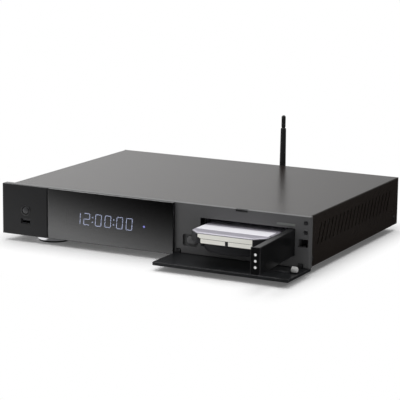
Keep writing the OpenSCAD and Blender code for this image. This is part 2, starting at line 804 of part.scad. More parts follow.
module door_catch() {
    color("#08080a") placed() difference() {
        catch_block(0);
        block([bay_x0 - 1, frame_y + 3, bay_z1 - 5.6], [bay_x0 + eps, frame_y + 9, bay_z1 - 3.2]);
    }
}

module bay_bezel() {
    color("#1a1a1c") placed() difference() {
        block([bay_x0 - 4, back_y, bay_z0 - 4], [bay_x1 + 4, cage_y0, bay_z1 + 4]);
        block([bay_x0, back_y - eps, bay_z0], [bay_x1, bezel_back, bay_z1]);
        block([cage_x0, back_y, cage_z0], [cage_x1, cage_y0 + eps, cage_z1]);
        door_pin_holes();
        catch_block(0.05);
    }
}

module bay_cage() {
    color("#a8aaae") placed() difference() {
        union() {
            difference() {
                block([cage_x0 - cage_t, cage_y0, cage_z0 - cage_t], [cage_x1 + cage_t, cage_end, cage_z1
                    + cage_t]);
                block([cage_x0, cage_y0 - eps, cage_z0], [cage_x1, cage_end + eps, cage_z1]);
            }
            // Guides at both sides of the drive
            for (s = [-1, 1])
                translate([bay_x + s * (drive_w / 2 + side_gap + 0.6), 0, 0])
                    block([-0.6, cage_y0, cage_z0 - eps], [0.6, cage_end, drive_z + 4]);
            // Feet that carry the cage on the base
            for (x = [cage_x0 - cage_t, cage_x1])
                for (y = [cage_y0, cage_end - 20])
                    block([x, y, case_z + sheet], [x + cage_t, y + 20, cage_z0]);
            for (x = [cage_x0 - 10, cage_x1])
                for (y = [cage_y0, cage_end - 20])
                    block([x, y, case_z + sheet], [x + 10, y + 20, case_z + sheet + cage_t]);
        }
        // Slots in the roof and the sides
        for (i = [0:6])
            block([cage_x0 + 8 + i * 15, cage_y0 + 22, cage_z1 - eps], [cage_x0 + 14 + i * 15, cage_y0
                + 120, cage_z1 + cage_t + eps]);
        for (i = [0:4])
            block([cage_x0 - 3, cage_y0 + 22 + i * 25, cage_z0 + 12], [cage_x1 + 3, cage_y0 + 38 + i * 25,
                cage_z0 + 20]);
    }
}

module bay_backplane() {
    color("#1f5a36") placed() {
        difference() {
            block([cage_x0 - cage_t, cage_end, cage_z0 - cage_t], [cage_x1 + cage_t, cage_end + board_t,
                cage_z1 + cage_t]);
            for (i = [0:3])
                block([cage_x0 + 12 + i * 22, cage_end - 1, cage_z1 - 14], [cage_x0 + 24 + i * 22,
                    cage_end + board_t + 1, cage_z1 - 6]);
        }
        // The connector that the drive plugs into
        difference() {
            block([bay_x - 26, cage_end - plug_l, drive_z + 1.4], [bay_x + 18, cage_end, drive_z + 7]);
            block([bay_x - 24, cage_end - plug_l - 1, drive_z + 3], [bay_x + 16, cage_end - 1,
                drive_z + 4.6]);
        }
    }
}

// The door is drawn shut and turned open about its hinge axis. Along: distance from the axis to
// the free end. Deep: distance behind the outer face.
module door_swung() {
    translate([hinge_x, hinge_y, 0]) rotate([0, 0, door_open]) translate([-hinge_x, -hinge_y, 0])
        children();
}

module door_block(a0, a1, d0, d1, z0, z1) {
    block([hinge_x - a1, hinge_y - door_back + d0, z0], [hinge_x - a0, hinge_y - door_back + d1, z1]);
}

module door_shell() {
    color("#161618") placed() door_swung() difference() {
        union() {
            door_block(0, door_l - door_wall, 0, door_wall, door_z0, door_z1);
            door_block(0, door_l - door_wall, 0, rim_deep, door_z1 - door_wall, door_z1);
            door_block(0, door_l - door_wall, 0, lip_deep, door_z0, door_z0 + door_wall);
            translate([hinge_x, hinge_y, door_z0]) cylinder(r = door_back, h = door_h);
            for (a = [30, 60, 90])
                door_block(a, a + door_wall, 0, rib_deep, door_z0, door_z1);
        }
        translate([hinge_x, hinge_y, door_z0 - eps]) cylinder(d = door_pin_d + 2 * pin_gap, h = pin_in + 0.3);
        translate([hinge_x, hinge_y, door_z1 - pin_in - 0.3])
            cylinder(d = door_pin_d + 2 * pin_gap, h = pin_in + 0.3 + eps);
    }
}

rivet_zs = [-7.4, 0, 7.4];

module door_end_plate() {
    color("#202023") placed() door_swung() difference() {
        door_block(door_l - door_wall, door_l, 0, door_t, door_z0, door_z1);
        for (z = rivet_zs)
            bar_x(hinge_x - door_l - eps, hinge_y - 0.9, door_z0 + door_h / 2 + z, 2 + 2 * pin_gap,
                door_wall + 2 * eps);
    }
}

module door_rivets() {
    color("#dcdcd8") placed() door_swung() for (z = rivet_zs)
        translate([hinge_x - door_l, hinge_y - 0.9, door_z0 + door_h / 2 + z]) {
            bar_x(0, 0, 0, 2, door_wall);
            rotate([0, -90, 0]) cylinder(d1 = 3.4, d2 = 2.6, h = 0.3);
        }
}

module door_pins() {
    color("#85878b") placed() for (z = [bay_z0 - pin_out, door_z1 - pin_in])
        translate([hinge_x, hinge_y, z]) cylinder(d = door_pin_d, h = pin_out + door_z0 - bay_z0 + pin_in);
}

module latch_slider() {
    h = latch_stem / 2;
    color("#1b1b1d") placed() {
        translate([latch_x, frame_y + 3.6, latch_z]) rotate([90, 0, 0]) {
            linear_extrude(2.1) round_rect([-latch_w / 2, -latch_h / 2], [latch_w / 2, latch_h / 2], 4);
            translate([0, 0, 2.1 - eps]) linear_extrude(1.1)
                round_rect([-latch_w / 2 + 1.2, -latch_h / 2 + 1.2], [latch_w / 2 - 1.2, latch_h / 2 - 1.2],
                    3);
        }
        block([latch_x - h, frame_y + 3.4, latch_z - h], [latch_x + h, back_y + run_gap + 1.6, latch_z + h]);
        block([latch_x - h - 2, back_y + run_gap, latch_z - h - 2], [latch_x + h + 2, back_y + run_gap
            + 1.6, latch_z + h + 2]);
    }
}

module latch_guide() {
    h = latch_stem / 2 + 2 + run_gap;
    color("#2a2a2c") placed() difference() {
        block([latch_x - h - latch_travel - 3, back_y, latch_z - h - 2], [bay_x0 - 4, back_y + 4.6,
            latch_z + h + 2]);
        block([latch_x - h - latch_travel, back_y - eps, latch_z - h], [latch_x + h, back_y + 2 * run_gap
            + 1.6, latch_z + h]);
    }
}

// ---- The drive, drawn out ----

// Outline of the drive from above: its platter end has two cut corners
module drive_outline(inset) {
    x0 = drive_x0 + inset;
    x1 = drive_x1 - inset;
    y0 = drive_y + inset;
    y1 = drive_y + drive_l - inset;
    c = drive_bevel - inset * 0.6;
    polygon([[x0, y0 + c], [x0 + c, y0], [x1 - c, y0], [x1, y0 + c], [x1, y1], [x0, y1]]);
}

module drive_casting() {
    drum_r = drive_w / 2 - drum_step;
    drum_y = drive_y + drum_in + drum_r;
    color("#303134") placed() difference() {
        union() {
            translate([0, 0, drive_z + ledge_h])
                linear_extrude(drive_t - ledge_h - 1.6) drive_outline(0);
            // Round platter housing under the ledge, down to the underside ahead of the board
            translate([bay_x, drum_y, drive_z + 3]) cylinder(r = drum_r, h = ledge_h - 3 + eps, $fn = 96);
            intersection() {
                translate([bay_x, drum_y, drive_z]) cylinder(r = drum_r, h = 3 + eps, $fn = 96);
                block([drive_x0, drive_y, drive_z - 1], [drive_x1, drive_y + 44.5, drive_z + 4]);
            }
            block([drive_x0 + 2.2, drum_y, drive_z + 3], [drive_x1 - 2.2, drive_y + drive_l,
                drive_z + ledge_h + eps]);
            // Side walls, whose rails reach down to the underside
            for (x = [drive_x0, drive_x1 - 5])
                block([x, drive_y + rail_in, drive_z], [x + 5, drive_y + drive_l, drive_z + ledge_h + eps]);
            block([drive_x0 + 5, drive_y + drive_l - 8, drive_z + 2.2], [drive_x1 - 5,
                drive_y + drive_l, drive_z + 6]);
        }
        // Tapped holes in the sides
        for (y = [rail_in + 8, drive_l - 57, drive_l - 17])
            for (x = [drive_x0 - eps, drive_x1 - 4])
                bar_x(x, drive_y + y, drive_z + 6.4, 2.9, 4 + eps);
        // Room for the plug at the rear end
        block([bay_x - 27, drive_y + drive_l - 5, drive_z + 2], [bay_x + 19, drive_y + drive_l + eps,
            drive_z + 7.6]);
    }
}

module drive_cover() {
    z = drive_top - 1.6;
    color("#b9bac0") placed() difference() {
        union() {
            translate([0, 0, z]) linear_extrude(0.8) drive_outline(1.2);
            translate([0, 0, z]) linear_extrude(1.6) difference() {
                drive_outline(5);
                translate([bay_x - 30, drive_y + drive_l - 51]) circle(8);
                translate([bay_x + 22, drive_y + drive_l - 35]) circle(11);
            }
        }
        for (p = drive_screw_at)
            translate([p[0], p[1], z - eps]) cylinder(d = 2 + 2 * pin_gap, h = 3);
    }
}

drive_screw_at = [for (s = [-1, 1]) for (y = [24, drive_l / 2 - 1.5, drive_l - 9])
    [bay_x + s * (drive_w / 2 - 3), drive_y + y]];

module drive_screws() {
    color("#8a8b90") placed() for (p = drive_screw_at)
        translate([p[0], p[1], drive_top - 0.8]) screw(2, 0.8, 0.7);
}

module drive_board() {
    color("#1c4f38") placed() difference() {
        translate([drive_x0 + 6, drive_y + 45, drive_z + 1.4]) cube([drive_w - 12, drive_l - 55, 1.6]);
        translate([bay_x - 12, drive_y + drive_l - 69, drive_z]) cylinder(d = 24, h = 5);
    }
}

module drive_labels() {
    color("#e8e6dd") placed() {
        // On the cover
        translate([0, 0, drive_top]) linear_extrude(0.15)
            round_rect([drive_x0 + 5.8, drive_y + 17], [drive_x1 - 5.8, drive_y + 50], 1);
        // On the platter end: a broad label and two strips under it
        y = drive_y - 0.15;
        upright(y, 0.15) polygon([[bay_x - 35.5, drive_top - 1.8], [bay_x - 35.5, drive_top - 5.4],
            [bay_x - 31.5, drive_top - 7.2], [bay_x + 36.5, drive_top - 7.2],
            [bay_x + 36.5, drive_top - 1.8]]);
        block([bay_x - 31.5, y, drive_top - 12.7], [bay_x + 1, drive_y, drive_top - 7.6]);
        block([bay_x + 5, y, drive_top - 12.7], [bay_x + 36.5, drive_y, drive_top - 7.6]);
    }
}

// ---- Inside the case ----

post_d = 6;
supply_y1 = rear_y - 8;
supply_y0 = supply_y1 - supply_l;
post_at = [for (x = [board_x0 + 5, board_x1 - 5]) for (y = [board_y0 + 8, board_y1 - 26]) [x, y],
    for (x = [supply_x0 + 6, supply_x1 - 6]) for (y = [supply_y0 + 6, supply_y1 - 6]) [x, y]];

module board_posts() {
    color("#a8aaae") placed() for (p = post_at)
        translate([p[0], p[1], case_z + sheet]) cylinder(d = post_d, h = board_z - case_z - sheet);
}

module main_board() {
    m = (board_x0 + board_x1) / 2;
    color("#1f5a36") placed() difference() {
        union() {
            block([board_x0, board_y0, board_z], [board_x1, board_y1, board_top]);
            // Chips
            for (p = [[board_x0 + 14, board_y0 + 20, 10, 8], [m - 7, board_y1 - 40, 14, 10],
                [board_x1 - 30, board_y0 + 50, 12, 18], [board_x0 + 14, board_y0 + 70, 14, 12]])
                block([p[0], p[1], board_top - eps], [p[0] + p[2], p[1] + p[3], board_top + 2]);
            // Round capacitors along both edges
            for (i = [0:3])
                translate([i < 2 ? board_x0 + 7 : board_x1 - 9, board_y0 + 40 + (i % 2) * 14,
                    board_top - eps]) cylinder(d = 7, h = 11);
        }
        for (i = [0:3])
            translate([post_at[i][0], post_at[i][1], board_z - eps]) cylinder(d = 3.2, h = board_t + 1);
    }
}

module heat_sink() {
    x = (board_x0 + board_x1 - sink_w) / 2;
    y = board_y1 - 66 - sink_l / 2;
    fin_t = 1.6;
    color("#8f9297") placed() {
        block([x, y, board_top], [x + sink_w, y + sink_l, board_top + 4]);
        for (i = [0:fins - 1])
            translate([x + i * (sink_w - fin_t) / (fins - 1), y, board_top + 4 - eps])
                cube([fin_t, sink_l, sink_h - 4]);
    }
}

module supply_board() {
    color("#8a6a3a") placed() difference() {
        block([supply_x0, supply_y0, board_z], [supply_x1, supply_y1, board_top]);
        for (i = [4:7])
            translate([post_at[i][0], post_at[i][1], board_z - eps]) cylinder(d = 3.2, h = board_t + 1);
    }
}

module supply_parts() {
    color("#3c3c40") placed() translate([supply_x0, supply_y0, board_top]) {
        // Transformer: its core and its windings
        block([30, 36, 0], [62, 70, 28]);
        block([26, 40, 4], [66, 66, 24]);
        // Round capacitors: place, diameter and height
        for (p = [[17, 20, 14.4, 30], [supply_w - 26, 20, 12.8, 26], [supply_w - 26, 42, 12.8, 26],
            [supply_w - 14, 66, 9.6, 20]])
            translate([p[0], p[1], 0]) cylinder(d = p[2], h = p[3]);
        // Switch on its cooling plate, and a filter
        block([5, 56, 0], [9, 96, 30]);
        block([supply_w - 34, 84, 0], [supply_w - 14, 100, 14]);
    }
}

// ---- Rear sockets ----

module mains_inlet() {
    x = inlet_at[0];
    z = inlet_at[1];
    color("#121214") placed() difference() {
        union() {
            upright(case_d, 2.2) round_rect([x - 18, z - 12.5], [x + 18, z + 12.5], 3);
            block([x - 13.4, case_d - 18, z - 9.6], [x + 13.4, case_d + eps, z + 9.6]);
        }
        block([x - 11.8, case_d - 14, z - 7.8], [x + 11.8, case_d + 3, z + 7.8]);
    }
    color("#c9cacc") placed() for (p = [[0, 2.6], [-6, -2.2], [6, -2.2]])
        block([x + p[0] - 1, case_d - 15, z + p[1] - 2], [x + p[0] + 1, case_d - 2, z + p[1] + 2]);
}

module network_socket() {
    x = network_at[0];
    z = network_at[1];
    color("#b5b7ba") placed() difference() {
        union() {
            block([x - 7.8, case_d - 20, z - 6.8], [x + 7.8, case_d + 0.6, z + 6.8]);
            block([x - 7.8, case_d - 20, board_top], [x + 7.8, rear_y - plate_sheet - 0.2, z]);
        }
        block([x - 5.9, case_d - 12, z - 4.4], [x + 5.9, case_d + 1, z + 3.4]);
    }
}

module video_socket() {
    x = video_at[0];
    z = video_at[1];
    color("#b5b7ba") placed() {
        difference() {
            block([x - 7.6, case_d - 12, z - 3], [x + 7.6, case_d + 0.8, z + 3]);
            block([x - 7, case_d - 9, z - 2.4], [x + 7, case_d + 1, z + 2.4]);
        }
        block([x - 5, case_d - 10, z - 0.5], [x + 5, case_d - 0.6, z + 0.9]);
        block([x - 6.8, case_d - 12, board_top], [x + 6.8, case_d - 2, z - 3 + eps]);
    }
}

module rear_usb_sockets() {
    color("#b5b7ba") placed() {
        for (s = [0, 1])
            translate([usb_at[0], case_d + 0.8, usb_at[1] - 4.2 + s * 8]) rotate([0, 0, 180])
                flat_socket(usb_deep);
        block([usb_at[0] - usb_w / 2, case_d - usb_deep + 1, board_top], [usb_at[0] + usb_w / 2,
            case_d - 2, usb_at[1] - 4.2 - usb_h / 2]);
        block([usb_at[0] - usb_w / 2, case_d - usb_deep + 1, usb_at[1] - 4.2 + usb_h / 2],
            [usb_at[0] + usb_w / 2, case_d - 2, usb_at[1] + 3.8 - usb_h / 2]);
    }
}

module optical_socket() {
    x = optical_at[0];
    z = optical_at[1];
    color("#161618") placed() {
        difference() {
            block([x - 4.9, case_d - 12, z - 4.9], [x + 4.9, case_d + 0.8, z + 4.9]);
            block([x - 2.8, case_d - 3, z - 2.8], [x + 2.8, case_d + 1, z + 2.8]);
        }
        block([x - 4.9, case_d - 12, board_top], [x + 4.9, case_d - 2, z - 4.9 + eps]);
    }
}

module sound_picture_jacks() {
    color("#c7a33a") placed() {
        for (x = rca_xs)
            for (z = rca_zs) {
                difference() {
                    bar_y(x, case_d - sheet - 2, z, rca_d, rca_l + sheet + 2);
                    bar_y(x, case_d, z, rca_d - 1.6, rca_l + eps);
                    bar_y(x, case_d - sheet - 2 - eps, z, 3, rca_l);
                }
                bar_y(x, case_d - sheet - 2, z, 3, 3);
            }
        block([rca_xs[0] - 7, rear_y - 14, rca_zs[0] - 8], [rca_xs[5] + 7, rear_y - 2, rca_zs[1] + 8]);
    }
}

// ---- Antenna ----

module antenna_socket() {
    color("#c7a33a") placed() translate([antenna_x, 0, antenna_z]) {
        bar_y(0, rear_y - 3, 0, 6.2, 3 + sheet + 6.4);
        translate([0, case_d, 0]) rotate([-90, 0, 0]) cylinder(d = 9.4, h = 2, $fn = 6);
        translate([0, rear_y - 2.2, 0]) rotate([-90, 0, 0]) cylinder(d = 9.4, h = 2.2, $fn = 6);
    }
}

module antenna_elbow() {
    y0 = case_d + 2 + run_gap;
    color("#19191b") placed() translate([antenna_x, 0, antenna_z]) difference() {
        union() {
            bar_y(0, y0, 0, 9.6, pivot_y - fork_r - y0 - 0.2);
            for (s = [-1, 1])
                translate([s * (tang_w / 2 + run_gap + 1.1), 0, 0]) {
                    bar_x(-1.1, pivot_y, 0, 2 * fork_r, 2.2);
                    block([-1.1, pivot_y - fork_r - 1.4, -fork_r + 0.9], [1.1, pivot_y, fork_r - 0.9]);
                }
        }
        bar_y(0, y0 - eps, 0, 6.2 + 2 * pin_gap, case_d + 6.4 + 0.3 - y0);
        bar_x(-6, pivot_y, 0, 2.4 + 2 * pin_gap, 12);
    }
}

module antenna_pin() {
    color("#85878b") placed()
        bar_x(antenna_x - 4.6, pivot_y, antenna_z, 2.4, 9.2);
}

module antenna_whip() {
    color("#19191b") placed() translate([antenna_x, pivot_y, antenna_z]) difference() {
        union() {
            bar_x(-tang_w / 2, 0, 0, 2 * fork_r - 1.2, tang_w);
            block([-tang_w / 2, -fork_r + 0.7, 0], [tang_w / 2, fork_r - 0.7, fork_r + 2]);
            translate([0, 0, fork_r + 0.6]) cylinder(d = whip_d, h = 6);
            translate([0, 0, fork_r + 6.6 - eps]) cylinder(d1 = whip_d, d2 = whip_top_d, h = whip_l
                - fork_r - 6.6);
        }
        bar_x(-6, 0, 0, 2.4 + 2 * pin_gap, 12);
    }
}

module antenna_cap() {
    color("#19191b") placed() translate([antenna_x, pivot_y, antenna_z + whip_l]) rotate_extrude()
        union() {
            square([cap_d / 2, cap_l - 2]);
            intersection() {
                translate([0, cap_l - 3]) scale([1, 1]) circle(3);
                square([cap_d / 2, cap_l]);
            }
        }
}

// ---- Feet and screws ----

module at_feet() {
    for (x = foot_xs)
        for (y = foot_ys)
            translate([x, y, floor_z]) children();
}

module foot_rings() {
    color("#c9cbd0") placed() at_feet() rotate_extrude($fn = 96)
        polygon([[screw_d / 2 + pin_gap, pad_t + 2], [foot_d / 2 - 3.4, pad_t + 2], [foot_d / 2 - 3.4, pad_t],
            [foot_d / 2 - 0.5, pad_t], [foot_d / 2, pad_t + 0.6], [foot_d / 2, foot_h - 2],
            [foot_d / 2 - 0.8, foot_h - 1.2], [foot_d / 2 - 2.4, foot_h - 1.2], [foot_d / 2 - 3, foot_h],
            [screw_d / 2 + pin_gap, foot_h]]);
}

module foot_pads() {
    color("#101012") placed() at_feet() {
        difference() {
            cylinder(d = foot_d - 1.6, h = pad_t);
            translate([0, 0, -eps]) cylinder(d = foot_d - 16, h = pad_t + 2 * eps);
        }
    }
}

module foot_screws() {
    color("#85878b") placed() at_feet() translate([0, 0, pad_t + 2]) rotate([180, 0, 0])
        screw(screw_d, foot_h - pad_t - 2 + sheet + 2, 1.8);
}

module frame_screws() {
    color("#3a3a3c") placed() {
        for (p = recess_screws)
            translate([p[0], frame_y, p[1]]) rotate([90, 0, 0]) screw(screw_d, frame_t, 0.4);
        for (x = frame_screw_xs)
            translate([x, base_y0 + sheet, frame_screw_z]) rotate([-90, 0, 0])
                screw(screw_d, sheet + frame_t - 2.2, 1.6);
    }
}

base_pan();
top_cover();
rear_panel();
socket_plate();
front_frame();
left_plate();
display_window();
display_module();
display_figures();
indicator_light();
front_board();
front_usb_socket();
button_ring();
power_button();
button_switch();
flap_plate();
flap_lugs();
flap_pins();
flap_catch();
flap_striker();
buffer_bracket();
flap_buffer();
bay_bezel();
bay_cage();
bay_backplane();
hinge_bracket();
door_catch();
door_shell();
door_end_plate();
door_rivets();
door_pins();
latch_slider();
latch_guide();
drive_casting();
drive_cover();
drive_board();
drive_labels();
drive_screws();
main_board();
heat_sink();
supply_board();
supply_parts();
board_posts();
mains_inlet();
network_socket();
video_socket();
rear_usb_sockets();
optical_socket();
sound_picture_jacks();
antenna_socket();
antenna_elbow();
antenna_pin();
antenna_whip();
antenna_cap();
foot_rings();
foot_pads();
cover_screws();
frame_screws();
foot_screws();
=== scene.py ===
import math

import bpy
import numpy as np
from mathutils import Matrix, Vector


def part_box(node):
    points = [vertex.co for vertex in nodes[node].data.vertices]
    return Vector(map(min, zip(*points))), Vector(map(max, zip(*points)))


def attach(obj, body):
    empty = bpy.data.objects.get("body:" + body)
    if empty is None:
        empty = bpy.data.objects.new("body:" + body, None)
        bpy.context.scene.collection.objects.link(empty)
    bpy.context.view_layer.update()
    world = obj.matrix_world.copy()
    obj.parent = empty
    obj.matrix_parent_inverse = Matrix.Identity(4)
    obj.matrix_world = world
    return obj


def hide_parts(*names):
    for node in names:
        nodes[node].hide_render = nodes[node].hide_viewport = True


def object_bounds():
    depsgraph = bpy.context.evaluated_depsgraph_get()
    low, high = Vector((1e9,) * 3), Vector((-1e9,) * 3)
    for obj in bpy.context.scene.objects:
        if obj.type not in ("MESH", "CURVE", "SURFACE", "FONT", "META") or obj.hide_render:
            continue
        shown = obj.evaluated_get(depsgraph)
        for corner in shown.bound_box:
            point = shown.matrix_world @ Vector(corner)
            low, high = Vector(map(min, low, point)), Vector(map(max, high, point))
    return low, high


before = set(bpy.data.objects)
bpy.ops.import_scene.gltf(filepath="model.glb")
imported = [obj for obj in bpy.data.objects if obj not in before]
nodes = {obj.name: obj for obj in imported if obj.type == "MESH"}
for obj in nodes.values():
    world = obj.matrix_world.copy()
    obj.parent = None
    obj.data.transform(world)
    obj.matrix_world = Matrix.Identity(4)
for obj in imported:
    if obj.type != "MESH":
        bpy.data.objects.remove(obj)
cadLow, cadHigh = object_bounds()
print("frame loaded, nodes:", len(nodes))

# Every shape below is worked out in millimetres: x to the right of the front's middle, y back from the face of
# the plates, and z up from their lower edge.
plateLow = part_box("left_plate")[0]
facePlace = np.array([0.0, plateLow.y, plateLow.z])
perMetre = 1000


def toFrame(points):  # millimetres from the face become metres in the frame
    return np.asarray(points, float) / perMetre + facePlace


def boxOf(node):  # a node's corners in millimetres from the face
    low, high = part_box(node)
    return (np.array(low) - facePlace) * perMetre, (np.array(high) - facePlace) * perMetre


# A shape is (points, faces), its points being the rings of a grid.


def gridFaces(rings, around):
    # face (i, j) joins ring i to ring i + 1 between the neighbours j and j + 1, closed around
    i, j = np.meshgrid(np.arange(rings - 1), np.arange(around), indexing="ij")
    k = (j + 1) % around
    near, far = i * around, (i + 1) * around
    return np.stack([near + j, near + k, far + k, far + j], -1).reshape(-1, 4)


def loft(rings):  # rings of points joined in order, with a flat cap on the first and on the last
    count, around = rings.shape[:2]
    faces = gridFaces(count, around).tolist()
    faces.append(list(range(around))[::-1])
    faces.append(list(range((count - 1) * around, count * around)))
    return rings.reshape(-1, 3), faces


shortest, sameSpot = 1e-9, 1e-6  # the least length divided by, and the distance under which points are one
pole = 0.1  # how far a lathe's ends stay off its axis, under a flat cap


def roundCorners(points, cut, steps=4, closed=True):
    # each corner becomes a quadratic curve from a point "cut" before it to a point "cut" after it
    points = np.asarray(points, float)
    cut = np.broadcast_to(np.asarray(cut, float), (len(points),)).copy()
    before, after = np.roll(points, 1, 0) - points, np.roll(points, -1, 0) - points
    if not closed:
        cut[[0, -1]] = 0
    lengthBefore, lengthAfter = np.linalg.norm(before, axis=1), np.linalg.norm(after, axis=1)
    unitBefore = before / np.maximum(lengthBefore, shortest)[:, None]
    unitAfter = after / np.maximum(lengthAfter, shortest)[:, None]
    t = np.linspace(0, 1, steps + 1)[None, :, None]
    start = points[:, None] + unitBefore[:, None] * cut[:, None, None]
    end = points[:, None] + unitAfter[:, None] * cut[:, None, None]
    curve = (1 - t) ** 2 * start + 2 * t * (1 - t) * points[:, None] + t ** 2 * end
    flat = curve.reshape(-1, 2)
    keep = np.linalg.norm(flat - np.roll(flat, 1, 0), axis=1) > sameSpot
    keep[0] = True
    return flat[keep]


def filleted(corners, steps=4, closed=False):
    # rows of a corner's place across, its place along and how far its rounding reaches
    corners = np.asarray(corners, float)
    return roundCorners(corners[:, :2], corners[:, 2], steps, closed)


def rectangle(width, height, cut, steps=4):  # a rounded rectangle round the origin
    w, h = width / 2, height / 2
    return roundCorners([[-w, -h], [w, -h], [w, h], [-w, h]], cut, steps)


def inset(outline, by):  # each point moves inwards along the mitre of its two edges
    ahead = np.roll(outline, -1, 0) - outline
    edge = ahead / np.maximum(np.linalg.norm(ahead, axis=1), shortest)[:, None]
    normal = np.stack([-edge[:, 1], edge[:, 0]], 1)
    if np.sum(outline[:, 0] * np.roll(outline[:, 1], -1) - np.roll(outline[:, 0], -1) * outline[:, 1]) < 0:
        normal = -normal
    before = np.roll(normal, 1, 0)
    return outline + by * (normal + before) / (1 + np.sum(normal * before, 1))[:, None]


def softLevels(low, high, radius, steps=3):
    # heights and insets of a slab whose two rims are quarter circles of that radius
    a = np.linspace(0, math.pi / 2, steps + 1)
    down = np.stack([low + radius * (1 - np.sin(a)), radius * (1 - np.cos(a))], 1)[::-1]
    up = np.stack([high - radius * (1 - np.sin(a)), radius * (1 - np.cos(a))], 1)
    return np.concatenate([down, up])


axisPlaces = {  # how across, up and along become x, y, z
    "x": lambda u, v, w: np.stack([w, u, v], -1),
    "y": lambda u, v, w: np.stack([u, w, v], -1),
    "z": lambda u, v, w: np.stack([u, v, w], -1),
}


supportInset = dict(most=0.25, share=0.15)


def supportRing(ring):  # a little further in, which keeps a flat cap evenly shaded
    by = min(supportInset["most"], supportInset["share"] * np.ptp(ring, axis=0).min())
    inner, middle = inset(ring, by), ring.mean(0)
    crossed = np.sum((np.roll(inner, -1, 0) - inner) * (np.roll(ring, -1, 0) - ring), 1).min() < 0
    return middle + (ring - middle) * (1 - 2 * by / np.ptp(ring, axis=0).max()) if crossed else inner


def levelsFrom(*parts):  # rows of height and inset, each part's heights counted from its own level
    return np.concatenate([np.array(rows, float) + [level, 0] for level, rows in parts])


def slab(outline, levels, axis="z", at=(0, 0, 0)):
    # the outline repeated at each level's height, drawn in by that level's inset
    outline, levels = np.asarray(outline, float), np.asarray(levels, float)
    rings = [inset(outline, b) for b in levels[:, 1]]
    rings = np.stack([supportRing(rings[0]), *rings, supportRing(rings[-1])])
    levels = levels[[0, *range(len(levels)), -1]]
    along = np.broadcast_to(levels[:, 0][:, None], rings.shape[:2])
    points, faces = loft(axisPlaces[axis](rings[..., 0], rings[..., 1], along))
    return points + np.asarray(at, float), faces


uprightCorner = dict(overRim=1.45, ofSide=0.49)  # rounder than the rims, as far as the sides leave room


def softBox(low, high, radius=0.4, corner=0, axis="z", steps=3):
    # a block between two corners with rounded upright edges and rims
    low, high = np.asarray(low, float), np.asarray(high, float)
    order = {"x": (1, 2, 0), "y": (0, 2, 1), "z": (0, 1, 2)}[axis]
    size, middle = high - low, (high + low) / 2
    width, depth, height = size[list(order)]
    corner = max(corner, min(uprightCorner["overRim"] * radius, uprightCorner["ofSide"] * min(width, depth)))
    outline = rectangle(width, depth, corner, steps)
    return slab(outline, softLevels(-height / 2, height / 2, radius, steps), axis, middle)


def lathe(profile, axis="z", at=(0, 0, 0), around=48, lobe=None):
    # radius and height of each profile point carried round the axis; lobe scales the radius with the angle
    profile = np.asarray(profile, float)
    a = np.linspace(0, 2 * math.pi, around, endpoint=False)
    radius = profile[:, 0][:, None] * np.ones(around)
    if lobe is not None:
        radius = radius * np.where(profile[:, 2][:, None] > 0, lobe(a)[None], 1)
    high = np.broadcast_to(profile[:, 1][:, None], radius.shape)
    points, faces = loft(axisPlaces[axis](radius * np.cos(a), radius * np.sin(a), high))
    return points + np.asarray(at, float), faces


def ringShape(profile, axis, at, around=64):
    # a closed profile of radius and height carried round the axis, as a ring with a hole
    profile = np.asarray(profile, float)
    a = np.linspace(0, 2 * math.pi, around, endpoint=False)[:, None]
    high = np.broadcast_to(profile[:, 1], (around, len(profile)))
    points = axisPlaces[axis](profile[:, 0] * np.cos(a), profile[:, 0] * np.sin(a), high)
    faces = gridFaces(around + 1, len(profile)) % (around * len(profile))
    return points.reshape(-1, 3) + np.asarray(at, float), faces.tolist()


def turned(shape, degrees, about):  # turned about an upright line through "about"
    points, faces = shape
    c, s = math.cos(math.radians(degrees)), math.sin(math.radians(degrees))
    x, y = points[:, 0] - about[0], points[:, 1] - about[1]
    return np.stack([about[0] + c * x - s * y, about[1] + s * x + c * y, points[:, 2]], 1), faces


def outward(points, faces):
    # the faces of a closed shape, turned round where its volume comes out negative
    first = np.array([f[0] for f in faces for _ in range(len(f) - 2)])
    second = np.array([f[k] for f in faces for k in range(1, len(f) - 1)])
    third = np.array([f[k + 1] for f in faces for k in range(1, len(f) - 1)])
    volume = np.sum(points[first] * np.cross(points[second], points[third]))
    return faces if volume > 0 else [f[::-1] for f in faces]


sharpFrom = math.radians(32)  # an edge that turns by more than this is shaded as a sharp one


def makePiece(name, shapes, body, slotName, finishName, *replaced):
    # the shapes joined in one object, which rides a body and takes the place of the CAD nodes named last
    points, faces, start = [], [], 0
    for p, f in shapes:
        faces += [[start + k for k in face] for face in outward(p - p.mean(0), f)]
        points.append(p)
        start += len(p)
    mesh = bpy.data.meshes.new(name)
    mesh.from_pydata(toFrame(np.concatenate(points)).tolist(), [], faces)
    mesh.update()
    mesh.polygons.foreach_set("use_smooth", np.ones(len(mesh.polygons), bool))
    mesh.set_sharp_from_angle(angle=sharpFrom)
    piece = bpy.data.objects.new(name, mesh)
    bpy.context.scene.collection.objects.link(piece)
    mesh.materials.append(finish[finishName])
    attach(piece, body)
    if replaced:
        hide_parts(*replaced)


# Effects that the finishes share


def newGroup(name, inputs, outputs):  # a node group whose sockets have a label, a kind and a value
    group = bpy.data.node_groups.new(name, "ShaderNodeTree")
    for label, kind, value in inputs:
        socket = group.interface.new_socket(name=label, in_out="INPUT", socket_type="NodeSocket" + kind)
        if value is not None:
            socket.default_value = value
    for label, kind in outputs:
        group.interface.new_socket(name=label, in_out="OUTPUT", socket_type="NodeSocket" + kind)
    return group, group.nodes.new("NodeGroupInput"), group.nodes.new("NodeGroupOutput")


def setInputs(tree, node, inputs):  # an input is linked to another node's output, or set to a value
    for key, value in inputs.items():
        if isinstance(value, bpy.types.NodeSocket):
            tree.links.new(value, node.inputs[key])
        else:
            node.inputs[key].default_value = value


